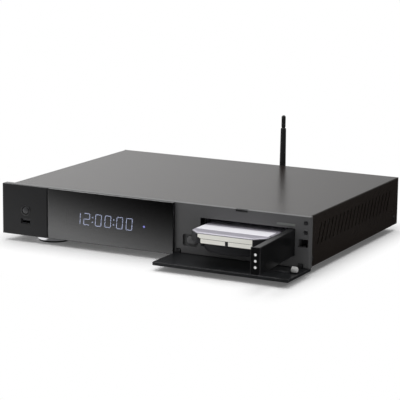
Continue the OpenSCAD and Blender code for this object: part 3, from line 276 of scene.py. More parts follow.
def addNode(tree, kind, inputs=None, **settings):
    node = tree.nodes.new("ShaderNode" + kind)
    for key, value in settings.items():
        setattr(node, key, value)
    setInputs(tree, node, inputs or {})
    return node


def mathNode(tree, operation, *values, clamp=False):
    return addNode(tree, "Math", dict(enumerate(values)), operation=operation, use_clamp=clamp).outputs[0]


def mapValues(tree, value, low, high, fromLow=0.3, fromHigh=0.7):
    return addNode(tree, "MapRange", {0: value, 1: fromLow, 2: fromHigh, 3: low, 4: high}).outputs[0]


def mixColours(tree, factor, *colours):
    a, b = ((*c, 1) if isinstance(c, tuple) else c for c in colours)
    return addNode(tree, "Mix", {0: factor, 6: a, 7: b}, data_type="RGBA").outputs[2]


def mixNumbers(tree, factor, a, b):
    return addNode(tree, "Mix", {0: factor, 2: a, 3: b}, data_type="FLOAT").outputs[0]


def mixShaders(tree, factor, a, b):
    return addNode(tree, "MixShader", {0: factor, 1: a, 2: b}).outputs[0]


def surfaceGrainGroup():
    # fine grain for the height, and broad soft patches for the tone, both from noise on the object's own place
    group, source, result = newGroup(
        "surfaceGrain",
        [("Vector", "Vector", None), ("Grain", "Float", 2500.0), ("Patch", "Float", 14.0)],
        [("Height", "Float"), ("Tone", "Float")],
    )
    place = source.outputs["Vector"]
    for scale, output, detail in (("Grain", "Height", 3.0), ("Patch", "Tone", 4.0)):
        noise = addNode(group, "TexNoise", {"Vector": place, "Scale": source.outputs[scale], "Detail": detail})
        group.links.new(noise.outputs["Fac"], result.inputs[output])
    return group


def brushedLinesGroup():
    # noise drawn out along one axis by a scale for each axis
    group, source, result = newGroup(
        "brushedLines",
        [("Vector", "Vector", None), ("Spread", "Vector", (40.0, 2500.0, 2500.0))],
        [("Height", "Float")],
    )
    place = {0: source.outputs["Vector"], 1: source.outputs["Spread"]}
    scaled = addNode(group, "VectorMath", place, operation="MULTIPLY")
    noise = addNode(group, "TexNoise", {"Vector": scaled.outputs[0], "Scale": 1.0, "Detail": 2.0})
    group.links.new(noise.outputs["Fac"], result.inputs["Height"])
    return group


edgeMask = dict(samples=4, gain=5.0)


def roundedEdgeGroup():
    # a normal rounded over the edges, and a mask that grows to 1 where it leaves the flat one
    group, source, result = newGroup(
        "roundedEdge",
        [("Radius", "Float", 0.0004)],
        [("Normal", "Vector"), ("Mask", "Float")],
    )
    bevel = addNode(group, "Bevel", {"Radius": source.outputs["Radius"]}, samples=edgeMask["samples"])
    normals = {0: bevel.outputs["Normal"], 1: addNode(group, "NewGeometry").outputs["Normal"]}
    dot = addNode(group, "VectorMath", normals, operation="DOT_PRODUCT")
    away = mathNode(group, "SUBTRACT", 1.0, dot.outputs["Value"])
    group.links.new(mathNode(group, "MULTIPLY", away, edgeMask["gain"], clamp=True), result.inputs["Mask"])
    group.links.new(bevel.outputs["Normal"], result.inputs["Normal"])
    return group


surfaceGrain = surfaceGrainGroup()
brushedLines = brushedLinesGroup()
roundedEdge = roundedEdgeGroup()


plainLook = dict(grain=2500.0, patch=14.0, streak=0.5, edge=0.0004, edgeWearAndHighlight=0.35, rough=0.45, roughSpread=0.06,
    bump=0.15, depth=0.0001, metal=0.0, shine=0.5, ior=1.5, coat=0.0, coatRough=0.08,
    otherShare=0.82, edgeGain=2.2, edgeLift=0.02)  # what a finish is where its own look doesn't say otherwise


def makeFinish(name, changes):
    # a finish whose colour, roughness and height change over the surface, with paler edges: rubbed edges on
    # most finishes, and a painted highlight on the door, the flap and the drive's lid
    look = {**plainLook, **changes}
    colour, other = look["colour"], look.get("other", tuple(c * look["otherShare"] for c in look["colour"]))
    edgeColour = look.get("edgeColour", tuple(min(1, c * look["edgeGain"] + look["edgeLift"]) for c in colour))
    material = bpy.data.materials.new(name)
    material.use_nodes = True
    tree = material.node_tree
    shader = tree.nodes["Principled BSDF"]
    place = addNode(tree, "TexCoord").outputs["Object"]
    inputs = {"Vector": place, "Grain": look["grain"], "Patch": look["patch"]}
    grain = addNode(tree, "Group", inputs, node_tree=surfaceGrain)
    height = grain.outputs["Height"]
    mixed = mixColours(tree, mapValues(tree, grain.outputs["Tone"], 0, 1), colour, other)
    if "brushed" in look:
        inputs = {"Vector": place, "Spread": look["brushed"]}
        height = addNode(tree, "Group", inputs, node_tree=brushedLines).outputs["Height"]
        mixed = mixColours(tree, mapValues(tree, height, 0, look["streak"]), mixed, look.get("other", colour))
    edge = addNode(tree, "Group", {"Radius": look["edge"]}, node_tree=roundedEdge)
    # the mask mixes in the paler edge colour: rubbed edges on most finishes, a painted highlight on the door,
    # the flap and the drive's lid
    edgeWearAndHighlightMask = mathNode(tree, "MULTIPLY", edge.outputs["Mask"], look["edgeWearAndHighlight"])
    rough, spread = look["rough"], look["roughSpread"]
    bump = addNode(tree, "Bump", {"Strength": look["bump"], "Distance": look["depth"], "Height": height,
        "Normal": edge.outputs["Normal"]})
    setInputs(tree, shader, {
        "Base Color": mixColours(tree, edgeWearAndHighlightMask, mixed, edgeColour),
        "Roughness": mapValues(tree, height, rough - spread, rough + spread),
        "Normal": bump.outputs["Normal"],
        "Metallic": look["metal"],
        "Specular IOR Level": look["shine"],
        "IOR": look["ior"],
        "Coat Weight": look["coat"],
        "Coat Roughness": look["coatRough"],
    })
    if "glow" in look:
        setInputs(tree, shader, {"Emission Color": (*look["glow"], 1), "Emission Strength": look["glowLevel"]})
    return material


finishLooks = {
    "caseBlack": dict(colour=(0.0165, 0.0125, 0.0105), other=(0.02, 0.0155, 0.013), rough=0.27, grain=3800.0,
        bump=0.12, edgeWearAndHighlight=0.5, shine=0.5),
    "caseFolded": dict(colour=(0.022, 0.021, 0.02), rough=0.42, grain=3000.0, edgeWearAndHighlight=0.5),
    "plateMatte": dict(colour=(0.015, 0.015, 0.016), other=(0.012, 0.012, 0.013), rough=0.42, grain=4200.0,
        bump=0.2, edgeWearAndHighlight=0.6, edge=0.0005, shine=0.3),
    "recessPaint": dict(colour=(0.1, 0.1, 0.102), other=(0.09, 0.09, 0.092), rough=0.34, grain=2600.0,
        bump=0.15, edgeWearAndHighlight=0.4, shine=0.6),
    "buttonDark": dict(colour=(0.035, 0.035, 0.038), rough=0.3, grain=5000.0, bump=0.08, edgeWearAndHighlight=0.3),
    "ringDark": dict(colour=(0.012, 0.012, 0.013), rough=0.35, grain=5000.0, bump=0.1),
    "mouldedBlack": dict(colour=(0.012, 0.012, 0.013), other=(0.016, 0.016, 0.017), rough=0.4, grain=3200.0,
        bump=0.22, edgeWearAndHighlight=0.35, shine=0.4),
    # the door's pale edge colour, far paler than its black, is a painted highlight along its edges
    "doorBlack": dict(colour=(0.003, 0.003, 0.0035), other=(0.004, 0.004, 0.0045), rough=0.3, grain=3200.0,
        bump=0.15, edgeWearAndHighlight=0.9, shine=0.42, edge=0.0008, edgeColour=(0.16, 0.16, 0.17)),
    "bracketGrey": dict(colour=(0.19, 0.2, 0.19), other=(0.16, 0.17, 0.16), rough=0.45, grain=2600.0,
        bump=0.15),
    "knobBlack": dict(colour=(0.1, 0.1, 0.102), other=(0.09, 0.09, 0.092), rough=0.2, grain=3200.0, bump=0.08,
        edgeWearAndHighlight=0.3, shine=0.8),
    "mouldedGrey": dict(colour=(0.1, 0.1, 0.105), rough=0.5, grain=3000.0, bump=0.2),
    "galvanised": dict(colour=(0.6, 0.6, 0.62), other=(0.48, 0.48, 0.5), metal=0.6, rough=0.42, patch=160.0,
        grain=1200.0, bump=0.1, edgeWearAndHighlight=0.2, edgeColour=(0.6, 0.6, 0.62)),
    "brightSteel": dict(colour=(0.55, 0.55, 0.57), other=(0.45, 0.45, 0.47), metal=1.0, rough=0.28,
        brushed=(60.0, 2600.0, 2600.0), bump=0.06, edgeWearAndHighlight=0.2, edgeColour=(0.8, 0.8, 0.82)),
    "darkSteel": dict(colour=(0.05, 0.05, 0.053), metal=0.9, rough=0.38, grain=3000.0, bump=0.1, edgeWearAndHighlight=0.5,
        edgeColour=(0.3, 0.3, 0.32)),
    "screwSteel": dict(colour=(0.1, 0.1, 0.105), metal=0.9, rough=0.3, grain=4000.0, bump=0.08, edgeWearAndHighlight=0.5,
        edgeColour=(0.4, 0.4, 0.42)),
    "driveCastingDark": dict(colour=(0.02, 0.02, 0.023), other=(0.03, 0.03, 0.034), metal=0.25, rough=0.5,
        grain=1500.0, bump=0.35, depth=0.00015, edgeWearAndHighlight=0.5, edgeColour=(0.16, 0.16, 0.18)),
    # the lid's near-white edge colour is a painted highlight along its edges
    "driveLid": dict(colour=(0.6, 0.58, 0.65), other=(0.52, 0.5, 0.57), metal=0.35, rough=0.33,
        brushed=(45.0, 2200.0, 2200.0), bump=0.05, edgeWearAndHighlight=0.9, edge=0.0006, edgeColour=(0.97, 0.97, 1.0),
        streak=0.4),
    "driveLabel": dict(colour=(0.87, 0.86, 0.8), other=(0.83, 0.82, 0.76), rough=0.5, grain=2400.0, bump=0.05,
        edgeWearAndHighlight=0.1, edgeColour=(0.9, 0.9, 0.86)),
    # a plain white band across the drive's lid
    "lidWhiteBand": dict(colour=(0.97, 0.96, 1.0), other=(0.95, 0.94, 0.99), rough=0.4, grain=2400.0, bump=0.03,
        edgeWearAndHighlight=0.0),
    # painted shade: a near-black stand-in for the depth of the drive's tapped holes
    "holeShadeBlack": dict(colour=(0.002, 0.002, 0.002), rough=0.8, grain=2400.0, bump=0.1, edgeWearAndHighlight=0.0, shine=0.1),
    "circuitGreen": dict(colour=(0.016, 0.085, 0.04), other=(0.03, 0.14, 0.06), rough=0.38, patch=260.0,
        grain=1400.0, bump=0.2, edgeWearAndHighlight=0.3, edgeColour=(0.25, 0.3, 0.16)),
    "boardBrown": dict(colour=(0.21, 0.12, 0.045), other=(0.3, 0.18, 0.075), rough=0.5, patch=200.0,
        grain=1400.0, bump=0.2, edgeColour=(0.45, 0.33, 0.17)),
    "blackAnodised": dict(colour=(0.025, 0.025, 0.028), metal=0.7, rough=0.4, brushed=(2400.0, 60.0, 2400.0),
        bump=0.08, edgeWearAndHighlight=0.5, edgeColour=(0.35, 0.35, 0.37)),
    "goldPlate": dict(colour=(0.78, 0.56, 0.24), other=(0.66, 0.47, 0.2), metal=1.0, rough=0.25, grain=3000.0,
        bump=0.04, edgeWearAndHighlight=0.2, edgeColour=(0.95, 0.78, 0.45)),
    "chrome": dict(colour=(0.8, 0.8, 0.82), other=(0.74, 0.74, 0.77), metal=1.0, rough=0.12, roughSpread=0.03,
        grain=1800.0, bump=0.02, edgeWearAndHighlight=0.1, edgeColour=(0.95, 0.95, 0.96)),
    "rubberBlack": dict(colour=(0.012, 0.012, 0.012), other=(0.018, 0.018, 0.018), rough=0.75, grain=2200.0,
        bump=0.4, edgeWearAndHighlight=0.2, shine=0.3),
    "bufferWhite": dict(colour=(0.62, 0.62, 0.61), other=(0.56, 0.56, 0.55), rough=0.42, grain=2600.0,
        bump=0.1, edgeWearAndHighlight=0.2, edgeColour=(0.8, 0.8, 0.79)),
    "rivetBright": dict(colour=(0.95, 0.95, 0.95), other=(0.9, 0.9, 0.9), metal=0.15, rough=0.25, grain=3000.0,
        bump=0.05),
    "antennaBlack": dict(colour=(0.022, 0.022, 0.022), other=(0.027, 0.027, 0.027), rough=0.38, grain=2600.0,
        bump=0.18, edgeWearAndHighlight=0.2, shine=0.4),
    # the flap's pale edge colour is a painted highlight along its edges
    "flapBlack": dict(colour=(0.012, 0.0125, 0.0135), other=(0.016, 0.017, 0.019), rough=0.3, grain=3600.0,
        bump=0.1, edgeWearAndHighlight=0.8, edge=0.0006, edgeColour=(0.12, 0.12, 0.125)),
    "figureBlue": dict(colour=(0.5, 0.6, 0.7), rough=0.4, glow=(0.66, 0.74, 0.95), glowLevel=6.0),
    "dotBlue": dict(colour=(0.3, 0.4, 0.6), rough=0.4, glow=(0.36, 0.38, 1.0), glowLevel=7.0),
}
insulatorColours = dict(Red=(0.55, 0.03, 0.025), White=(0.75, 0.75, 0.72), Yellow=(0.75, 0.52, 0.03),
    Green=(0.03, 0.3, 0.08), Blue=(0.03, 0.08, 0.45))
for name, colour in insulatorColours.items():
    finishLooks["insulator" + name] = dict(colour=colour, rough=0.35, grain=2600.0, bump=0.08)
finish = {name: makeFinish(name, look) for name, look in finishLooks.items()}


# dark clear plastic: faint patches in its tint, and a slightly uneven gloss
windowLook = dict(colour=(0.1, 0.1, 0.11), other=(0.09, 0.09, 0.1), rough=0.06, roughSpread=0.01, grain=40.0,
    patch=6.0, bump=0.01, edgeWearAndHighlight=0.0, edge=0.0005, ior=1.75, coat=1.0, coatRough=0.05, clear=1.0)
finish["windowGlass"] = makeFinish("windowGlass", windowLook)
glassShader = finish["windowGlass"].node_tree.nodes["Principled BSDF"]
glassShader.inputs["Transmission Weight"].default_value = windowLook["clear"]
print("finishes made:", len(finish))

# The CAD nodes that keep their shape and get a finish
finishNodes = {
    "caseFolded": "base_pan rear_panel",
    "caseBlack": "top_cover",
    "brightSteel": "socket_plate flap_pins door_pins board_posts network_socket video_socket "
        "rear_usb_sockets",
    "recessPaint": "front_frame",
    "plateMatte": "left_plate",
    "mouldedBlack": "display_module button_switch flap_lugs flap_catch door_catch latch_guide supply_parts "
        "mains_inlet optical_socket",
    "circuitGreen": "front_board bay_backplane drive_board main_board",
    # dark steel on the front USB socket is painted shade in its slot; the rear USB sockets are bright steel
    "darkSteel": "front_usb_socket flap_striker buffer_bracket",
    "flapBlack": "flap_plate",
    "mouldedGrey": "bay_bezel",
    "galvanised": "bay_cage",
    "bracketGrey": "hinge_bracket",
    "blackAnodised": "heat_sink",
    "boardBrown": "supply_board",
    "goldPlate": "antenna_socket",
    "antennaBlack": "antenna_elbow",
    "screwSteel": "antenna_pin foot_screws frame_screws cover_screws",
    "rubberBlack": "foot_pads",
}
for name, members in finishNodes.items():
    for member in members.split():
        for slot in nodes[member].material_slots:
            slot.material = finish[name]

# Window over the display, a dark backing round the display, and the small light's lens in a sleeve
windowSizes = dict(thick=2.2, rim=0.6, backing=0.4, barRim=0.2, pastLight=2.0, gap=0.05, lightRadius=1.3,
    lens=((0.7, 0.15), (1.0, 0.6), (1.0, 1.6)), sleeve=(1.2, 1.3))


def makeWindow():
    s = windowSizes
    low, high = boxOf("display_window")
    pane = softBox(low, (high[0], s["thick"], high[2]), s["rim"], axis="y")
    makePiece("windowGlass", [pane], "chassis", "window", "windowGlass", "display_window")
    edge, gap, r = s["backing"], s["gap"], s["lightRadius"]
    x0, x1, z0, z1 = low[0] + edge, high[0] - edge, low[2] + edge, high[2] - edge
    front, back = s["thick"] + gap, high[1] - gap
    (h0, _, k0), (_, _, k1) = boxOf("display_module")
    low, high = boxOf("indicator_light")
    h1 = high[0] + s["pastLight"]
    bars = ((x0, z0, h0, z1), (h1, z0, x1, z1), (h0, z0, h1, k0), (h0, k1, h1, z1))
    bars = [softBox((a, front, b), (c, back, d), s["barRim"], axis="y") for a, b, c, d in bars]
    makePiece("windowBacking", bars, "chassis", "black_plastic", "ringDark")
    at, face, end = ((low[0] + high[0]) / 2, 0, (low[2] + high[2]) / 2), low[1], high[1]
    lens = [[r * share, face + behind] for share, behind in s["lens"]]
    lens = [[pole / 2, face], *lens, [pole / 2, lens[-1][1]]]
    makePiece("statusLight", [lathe(lens, "y", at, around=28)], "chassis", "lit_blue", "dotBlue",
        "indicator_light")
    r, (inner, outer) = r + gap, s["sleeve"]
    sleeve = [[pole / 2, face + inner], [r, face + outer], [r, end], [pole / 2, end]]
    makePiece("statusLightSleeve", [lathe(sleeve, "y", at, around=28)], "chassis", "black_plastic",
        "mouldedBlack")


makeWindow()

# Figures of the display: long hexagons leaning back
figureSizes = dict(height=15.4, width=9.0, bar=0.8, apart=0.25, pitch=13.7, pairs=30.6, middle=(-66.6, 30.4),
    lean=4.0, dot=1.5, dotRound=0.4, dotParts=5, shown="120000")
litBars = {  # top, upper right, lower right, bottom, lower left, upper left, middle
    "0": (1, 1, 1, 1, 1, 1, 0), "1": (0, 1, 1, 0, 0, 0, 0), "2": (1, 1, 0, 1, 1, 0, 1),
}


def makeFigures():
    s = figureSizes
    low, high = boxOf("display_figures")
    depth, slope = [[low[1], 0], [high[1], 0]], math.tan(math.radians(s["lean"]))
    w, h, half = (s["width"] - s["bar"]) / 2, (s["height"] - s["bar"]) / 2, s["bar"] / 2
    ends = np.array([[[-w, h], [w, h]], [[w, h], [w, 0]], [[w, 0], [w, -h]], [[w, -h], [-w, -h]],
        [[-w, -h], [-w, 0]], [[-w, 0], [-w, h]], [[-w, 0], [w, 0]]], float)
    shapes = []
    for i, figure in enumerate(s["shown"]):
        x = s["middle"][0] + (i // 2 - 1) * s["pairs"] + (i % 2 - 0.5) * s["pitch"]
        for (a, b), lit in zip(ends, litBars[figure]):
            if not lit:
                continue
            run = (b - a) / np.linalg.norm(b - a)
            side = np.array([-run[1], run[0]]) * half
            a, b = a + run * s["apart"], b - run * s["apart"]
            near, far = a + run * half, b - run * half
            hexagon = np.array([a, near - side, far - side, b, far + side, near + side])
            hexagon[:, 0] += hexagon[:, 1] * slope + x
            hexagon[:, 1] += s["middle"][1]
            shapes.append(slab(hexagon, depth, "y"))
    for aside in (-0.5, 0.5):  # two dots between each pair, a part of the height above and below the middle
        for up in (-s["height"] / s["dotParts"], s["height"] / s["dotParts"]):
            at = [s["middle"][0] + aside * s["pairs"] + up * slope, s["middle"][1] + up]
            shapes.append(slab(rectangle(s["dot"], s["dot"], s["dotRound"]) + at, depth, "y"))
    makePiece("displayFigures", shapes, "chassis", "lit_blue", "figureBlue", "display_figures")


makeFigures()

# Power button: a domed cap in a stepped ring
buttonSizes = dict(middle=(-179.5, 33.0), cap=4.7, stem=1.5, shoulder=(13.0, 13.2), ring=7.3, hole=5.1,
    groove=0.6)


def makeButton():
    s = buttonSizes
    at = (s["middle"][0], 0, s["middle"][1])
    (_, front, _), (_, back, _) = boxOf("power_button")
    r, stem = s["cap"], s["cap"] - s["stem"]
    cap = filleted([(pole / 2, front, 0), (r * 0.55, front + 0.14, 0.9), (r - 0.5, front + 0.55, 0.5),
        (r, front + 1.2, 0.4), (r, s["shoulder"][0], 0.2), (stem, s["shoulder"][1], 0.2), (stem, back, 0.2),
        (pole / 2, back, 0)])
    makePiece("buttonCap", [lathe(cap, "y", at, around=64)], "button", "plate_black", "buttonDark",
        "power_button")
    (_, front, _), (_, back, _) = boxOf("button_ring")
    r, hole, groove = s["ring"], s["hole"], s["ring"] - s["groove"]
    ring = filleted([(hole, back, 0.1), (hole, front + 0.5, 0.3), (hole + 0.35, front + 0.05, 0.2),
        (r - 0.7, front, 0.4), (r - 0.1, front + 0.35, 0.2), (r, 0.0, 0.05), (groove, 0.4, 0.1),
        (groove, back, 0.2)], closed=True)
    makePiece("buttonRing", [ringShape(ring, "y", at, around=72)], "chassis", "black_plastic", "ringDark",
        "button_ring")


makeButton()

# Bay door: a filleted channel with ribs, a barrel at the hinge, and an end plate with rivets
doorSizes = dict(hinge=(188.0, 12.0), back=6.5, depth=11.6, wall=1.8, length=118.0, open=93.3, rim=8.2, lip=3.6,
    low=16.3, high=48.7, nearHinge=2.0, seam=0.02, plateRim=0.35,
    ribs=(30, 60, 90), rib=2.6, ribRim=0.35, ribSunk=0.4, ribTop=0.9,
    rivets=(-7.4, 0.0, 7.4), rivetBack=5.6,
    rivet=((1.0, 0.6, 0), (1.7, 0.05, 0.1), (1.35, -0.24, 0.3), (pole, -0.3, 0)))


def doorShape(shape):  # drawn shut, then turned open about the hinge
    return turned(shape, doorSizes["open"], doorSizes["hinge"])


def makeDoor():
    s = doorSizes
    t, z0, z1, x, y = s["wall"], s["low"], s["high"], s["hinge"][0], s["hinge"][1] - s["back"]
    rim, lip = s["rim"], s["lip"]
    channel = filleted([(0, z0, 1.1), (0, z1, 1.3), (rim, z1, 0.5), (rim, z1 - t, 0.5), (t, z1 - t, 1.0),
        (t, z0 + t, 0.8), (lip, z0 + t, 0.4), (lip, z0, 0.4)], steps=5, closed=True) + [y, 0]
    far = x - s["length"] + t + s["seam"]
    shapes = [slab(channel, [[far, 0], [x - s["nearHinge"], 0]], "x")]
    barrel = filleted([(pole / 2, z0, 0), (s["back"], z0, 0.7), (s["back"], z1, 0.7), (pole / 2, z1, 0)])
    shapes.append(lathe(barrel, "z", (*s["hinge"], 0), around=56))
    for a in s["ribs"]:
        low = (x - a - t, y + t - s["ribSunk"], z0 + s["ribSunk"])
        shapes.append(softBox(low, (x - a, y + s["rib"], z1 - s["ribTop"]), s["ribRim"], axis="x"))
    shapes = [doorShape(p) for p in shapes]
    makePiece("doorShell", shapes, "bay_door", "black_plastic", "doorBlack", "door_shell")
    plate = [(0, z0, 2.2), (0, z1, 1.6), (s["depth"], z1, 1.2), (s["depth"], z0, 1.2)]
    plate = filleted(plate, steps=6, closed=True)
    end = slab(plate + [y, 0], softLevels(x - s["length"], far - 2 * s["seam"], s["plateRim"]), "x")
    makePiece("doorEndPlate", [doorShape(end)], "bay_door", "black_plastic", "doorBlack", "door_end_plate")
    spots = [(x - s["length"], y + s["rivetBack"], (z0 + z1) / 2 + up) for up in s["rivets"]]
    rivets = [doorShape(lathe(filleted(s["rivet"]), "x", spot, around=28)) for spot in spots]
    makePiece("doorRivets", rivets, "bay_door", "white_plastic", "rivetBright", "door_rivets")


makeDoor()

# Hard drive: a stepped casting with cut corners, its lid, labels and screws
driveSizes = dict(left=75.7, right=177.3, front=-45.0, back=102.0, low=16.9, high=43.0, cut=13.5, cutShare=0.6,
    frontRound=2.4, backRound=1.2, ledge=12.6, drumStep=2.3, drumIn=7.0, drumAround=120, boardFront=44.5)


def driveOutline(by):  # the casting's outline seen from above, drawn in by "by"
    s = driveSizes
    x0, x1, y0, y1 = s["left"] + by, s["right"] - by, s["front"] + by, s["back"] - by
    c, f, b = s["cut"] - by * s["cutShare"], s["frontRound"], s["backRound"]
    return filleted([(x0, y0 + c, f), (x0 + c, y0, f), (x1 - c, y0, f), (x1, y0 + c, f), (x1, y1, b),
        (x0, y1, b)], steps=6, closed=True)


def drumOutline(limit):  # a circle round the platters, cut off square behind "limit"
    s = driveSizes
    radius = (s["right"] - s["left"]) / 2 - s["drumStep"]
    a = np.linspace(0, 2 * math.pi, s["drumAround"], endpoint=False)
    x = (s["left"] + s["right"]) / 2 + radius * np.cos(a)
    y = s["front"] + s["drumIn"] + radius + radius * np.sin(a)
    return np.stack([x, y], 1)[y < limit]


castingSizes = dict(
    # rows of height and inset, the heights counted from the underside, the ledge or the top
    rimLow=((0, 0.9), (0.15, 0.4), (0.6, 0.05), (1.2, 0)),
    rimHigh=((-3, 0), (-2, 0.12), (-1.72, 0.5), (-1.62, 1)),
    under=((0, 1.6), (0.25, 0.7), (0.9, 0.1), (1.6, 0), (3.4, 0)),
    overLow=((3.1, 0.3), (3.3, 0)), overHigh=((-3.2, 0), (-2.6, 0.5), (-1.2, 0.6), (0.3, 0.2)),
    # the body behind the drum, with room for the plug between two blocks at the rear
    inside=2.2, floor=3, lap=0.1, bodyBack=5.2, blocks=6, plugTop=7.7, blockTop=8.5, plugLeft=27, plugRight=19,
    rails=38.0, rail=5, railTop=0.3, railRim=0.5, corner=1.2,
    webs=(-1.5, 22.0, 56.0), webLong=24, webOut=0.16, webIn=0.3, webLow=10.4, webTop=5.5, webRim=0.15,
    bar=((5, -8, 2.2), (-5, -5.4, 6.2)), barRim=0.3,
    holes=(1.0, 45.0, 85.0), holeUp=6.4, well=((1.56, -0.2), (1.56, 0.03), (pole, 0.05)),
    holeRing=((1.5, -0.3), (1.5, 0.12), (1.7, 0.17), (2.7, 0.17), (2.9, 0.1), (2.9, -0.3)))


def makeCasting():
    s, c = driveSizes, castingSizes
    x0, x1, front, back = s["left"], s["right"], s["front"], s["back"]
    z0, z1, ledge = s["low"], s["high"], s["low"] + s["ledge"]
    shapes = [
        slab(driveOutline(0), levelsFrom((ledge, c["rimLow"]), (z1, c["rimHigh"]))),
        slab(drumOutline(front + s["boardFront"]), levelsFrom((z0, c["under"]))),
        slab(drumOutline(math.inf), levelsFrom((z0, c["overLow"]), (ledge, c["overHigh"]))),
    ]
    drumMiddle = front + s["drumIn"] + (x1 - x0) / 2 - s["drumStep"]
    left, right, plug = x0 + c["inside"], x1 - c["inside"], (x0 + x1) / 2
    floor, top, rear = z0 + c["floor"], ledge + c["lap"], back - c["blocks"]
    for low, high in (
        ((left, drumMiddle, floor), (right, back - c["bodyBack"], top)),
        ((left, rear, z0 + c["plugTop"]), (right, back, top)),
        ((left, rear, floor), (plug - c["plugLeft"], back, z0 + c["blockTop"])),
        ((plug + c["plugRight"], rear, floor), (right, back, z0 + c["blockTop"])),
    ):
        shapes.append(softBox(low, high))
    for x, out in ((x0, 1), (x1, -1)):
        low, high = sorted((x, x + c["rail"] * out))
        rail = (low, front + c["rails"], z0), (high, back, ledge + c["railTop"])
        shapes.append(softBox(*rail, c["railRim"], c["corner"]))
        low, high = sorted((x - c["webOut"] * out, x + c["webIn"] * out))
        for y in c["webs"]:  # cast on the long sides
            web = (low, y, z0 + c["webLow"]), (high, y + c["webLong"], z1 - c["webTop"])
            shapes.append(softBox(*web, c["webRim"], c["corner"], axis="x"))
    (a, b, d), (e, f, g) = c["bar"]
    shapes.append(softBox((x0 + a, back + b, z0 + d), (x1 + e, back + f, z0 + g), c["barRim"]))
    makePiece("driveCasting", shapes, "drive", "drive_dark", "driveCastingDark", "drive_casting")
    rings, holeShades = [], []
    for x, out in ((x0, -1), (x1, 1)):  # machined rings round the tapped holes
        for y in c["holes"]:
            at = (x, y, z0 + c["holeUp"])
            rings.append(ringShape(np.array(c["holeRing"]) * [1, out], "x", at, around=40))
            holeShades.append(lathe(np.array(c["well"]) * [1, out], "x", at, around=32))
    makePiece("driveHoleRings", rings, "drive", "bare_steel", "brightSteel")
    # a near-black disc in each tapped hole is painted shade for the hole's depth
    makePiece("driveHoleShade", holeShades, "drive", "drive_dark", "holeShadeBlack")


lidSizes = dict(
    # the plate and the lid on it: how far in, and rows of height below the top and further inset
    plateIn=0.9, plate=((-1.6, 0), (-0.95, 0), (-0.8, 0.1), (-0.75, 0.35)),
    lidIn=2.0, lid=((-0.76, -0.4), (-0.6, 0), (-0.3, 0.2), (-0.1, 0.5), (-0.04, 1)),
    hubAt=(126.5, 62.0), hub=((9.0, -0.05), (9.0, 0.03), (8.6, 0.06), (6.2, 0.06), (5.9, -0.02), (pole, -0.02)),
    discs=((96.5, 51.0, 6.0), (148.5, 67.0, 9.0)), disc=((0, -0.05), (-0.1, 0.04), (-1, 0.04), (-1.1, -0.02)))


def makeLid():
    s, z1 = lidSizes, driveSizes["high"]
    shapes = [slab(driveOutline(s[key + "In"]), levelsFrom((z1, s[key]))) for key in ("plate", "lid")]
    shapes.append(lathe(np.array(s["hub"]) + [0, z1], "z", (*s["hubAt"], 0), around=64))
    for x, y, r in s["discs"]:
        disc = [*(np.array(s["disc"]) + [r, z1]), [pole, z1 + s["disc"][-1][1]]]
        shapes.append(lathe(disc, "z", (x, y, 0)))
    makePiece("driveLid", shapes, "drive", "drive_bright", "driveLid", "drive_cover")


makeCasting()
makeLid()

labelSizes = dict(left=91.0, right=163.0, top=41.3, under=35.8, cut=4.0, cutUp=1.8, split=(127.5, 131.5),
    strip=(30.3, 35.4), round=0.4, thick=0.16, sunk=0.1, rimDeep=0.04, rimIn=0.05,
    band=(-25.5, -1.5), bandIn=2.9, bandRound=0.6, bandLevels=((-0.1, 0), (0.04, 0), (0.07, 0.06)))


def makeLabels():
    s, d = labelSizes, driveSizes
    x0, x1, (y0, y1) = d["left"] + s["bandIn"], d["right"] - s["bandIn"], s["band"]
    band = rectangle(x1 - x0, y1 - y0, s["bandRound"]) + [(x0 + x1) / 2, (y0 + y1) / 2]
    # a white band across the lid, behind its front border
    band = slab(band, levelsFrom((d["high"], s["bandLevels"])))
    makePiece("lidWhiteBand", [band], "drive", "label", "lidWhiteBand", "drive_labels")
    left, right, inner = s["left"], s["right"], s["left"] + s["cut"]
    outlines = [[[left, s["top"]], [left, s["under"] + s["cutUp"]], [inner, s["under"]], [right, s["under"]],
        [right, s["top"]]]]
    low, high = s["strip"]
    for a, b in ((inner, s["split"][0]), (s["split"][1], right)):
        outlines.append([[a, low], [b, low], [b, high], [a, high]])
    y = d["front"]
    depth = [[y + s["sunk"], 0], [y - s["thick"] + s["rimDeep"], 0], [y - s["thick"], s["rimIn"]]]
    shapes = [slab(roundCorners(outline, s["round"]), depth, "y") for outline in outlines]
    makePiece("endLabels", shapes, "drive", "label", "driveLabel")


makeLabels()

screwSizes = dict(aside=47.8, along=(24, 72, 138), sunk=0.78, radius=1.9, high=0.7, stem=(0.95, -0.6, 0),
    # shares of the radius and of the height, and 1 in the driver's opening
    head=((1, 0, 0), (1, 0.35, 0), (0.86, 0.8, 0), (0.6, 1, 0), (0.52, 1, 1), (0.46, 0.2, 1), (0.1, 0.12, 1)),
    starSteady=0.86, starWave=0.14)


def starLobe(a):  # a six-pointed opening for a star driver
    return screwSizes["starSteady"] + screwSizes["starWave"] * np.cos(6 * a)


def makeDriveScrews():
    s, d = screwSizes, driveSizes
    profile = np.array([s["stem"], *(np.array(s["head"]) * [s["radius"], s["high"], 1])])
    middle, z = (d["left"] + d["right"]) / 2, d["high"] - s["sunk"]
    spots = [(middle + side * s["aside"], d["front"] + y, z) for side in (-1, 1) for y in s["along"]]
    heads = [lathe(profile, "z", spot, around=36, lobe=starLobe) for spot in spots]
    makePiece("driveScrews", heads, "drive", "bare_steel", "brightSteel", "drive_screws")


makeDriveScrews()

# Release slider: a domed oval knob on a neck with a foot
latchSizes = dict(wide=15.0, high=12.4, corner=5.6, front=5.4, back=8.6, dome=2.4, soft=3.4, steps=9,
    neck=3, neckLap=0.2, neckEnd=1.5, foot=5, footThick=1.6, rim=0.2)


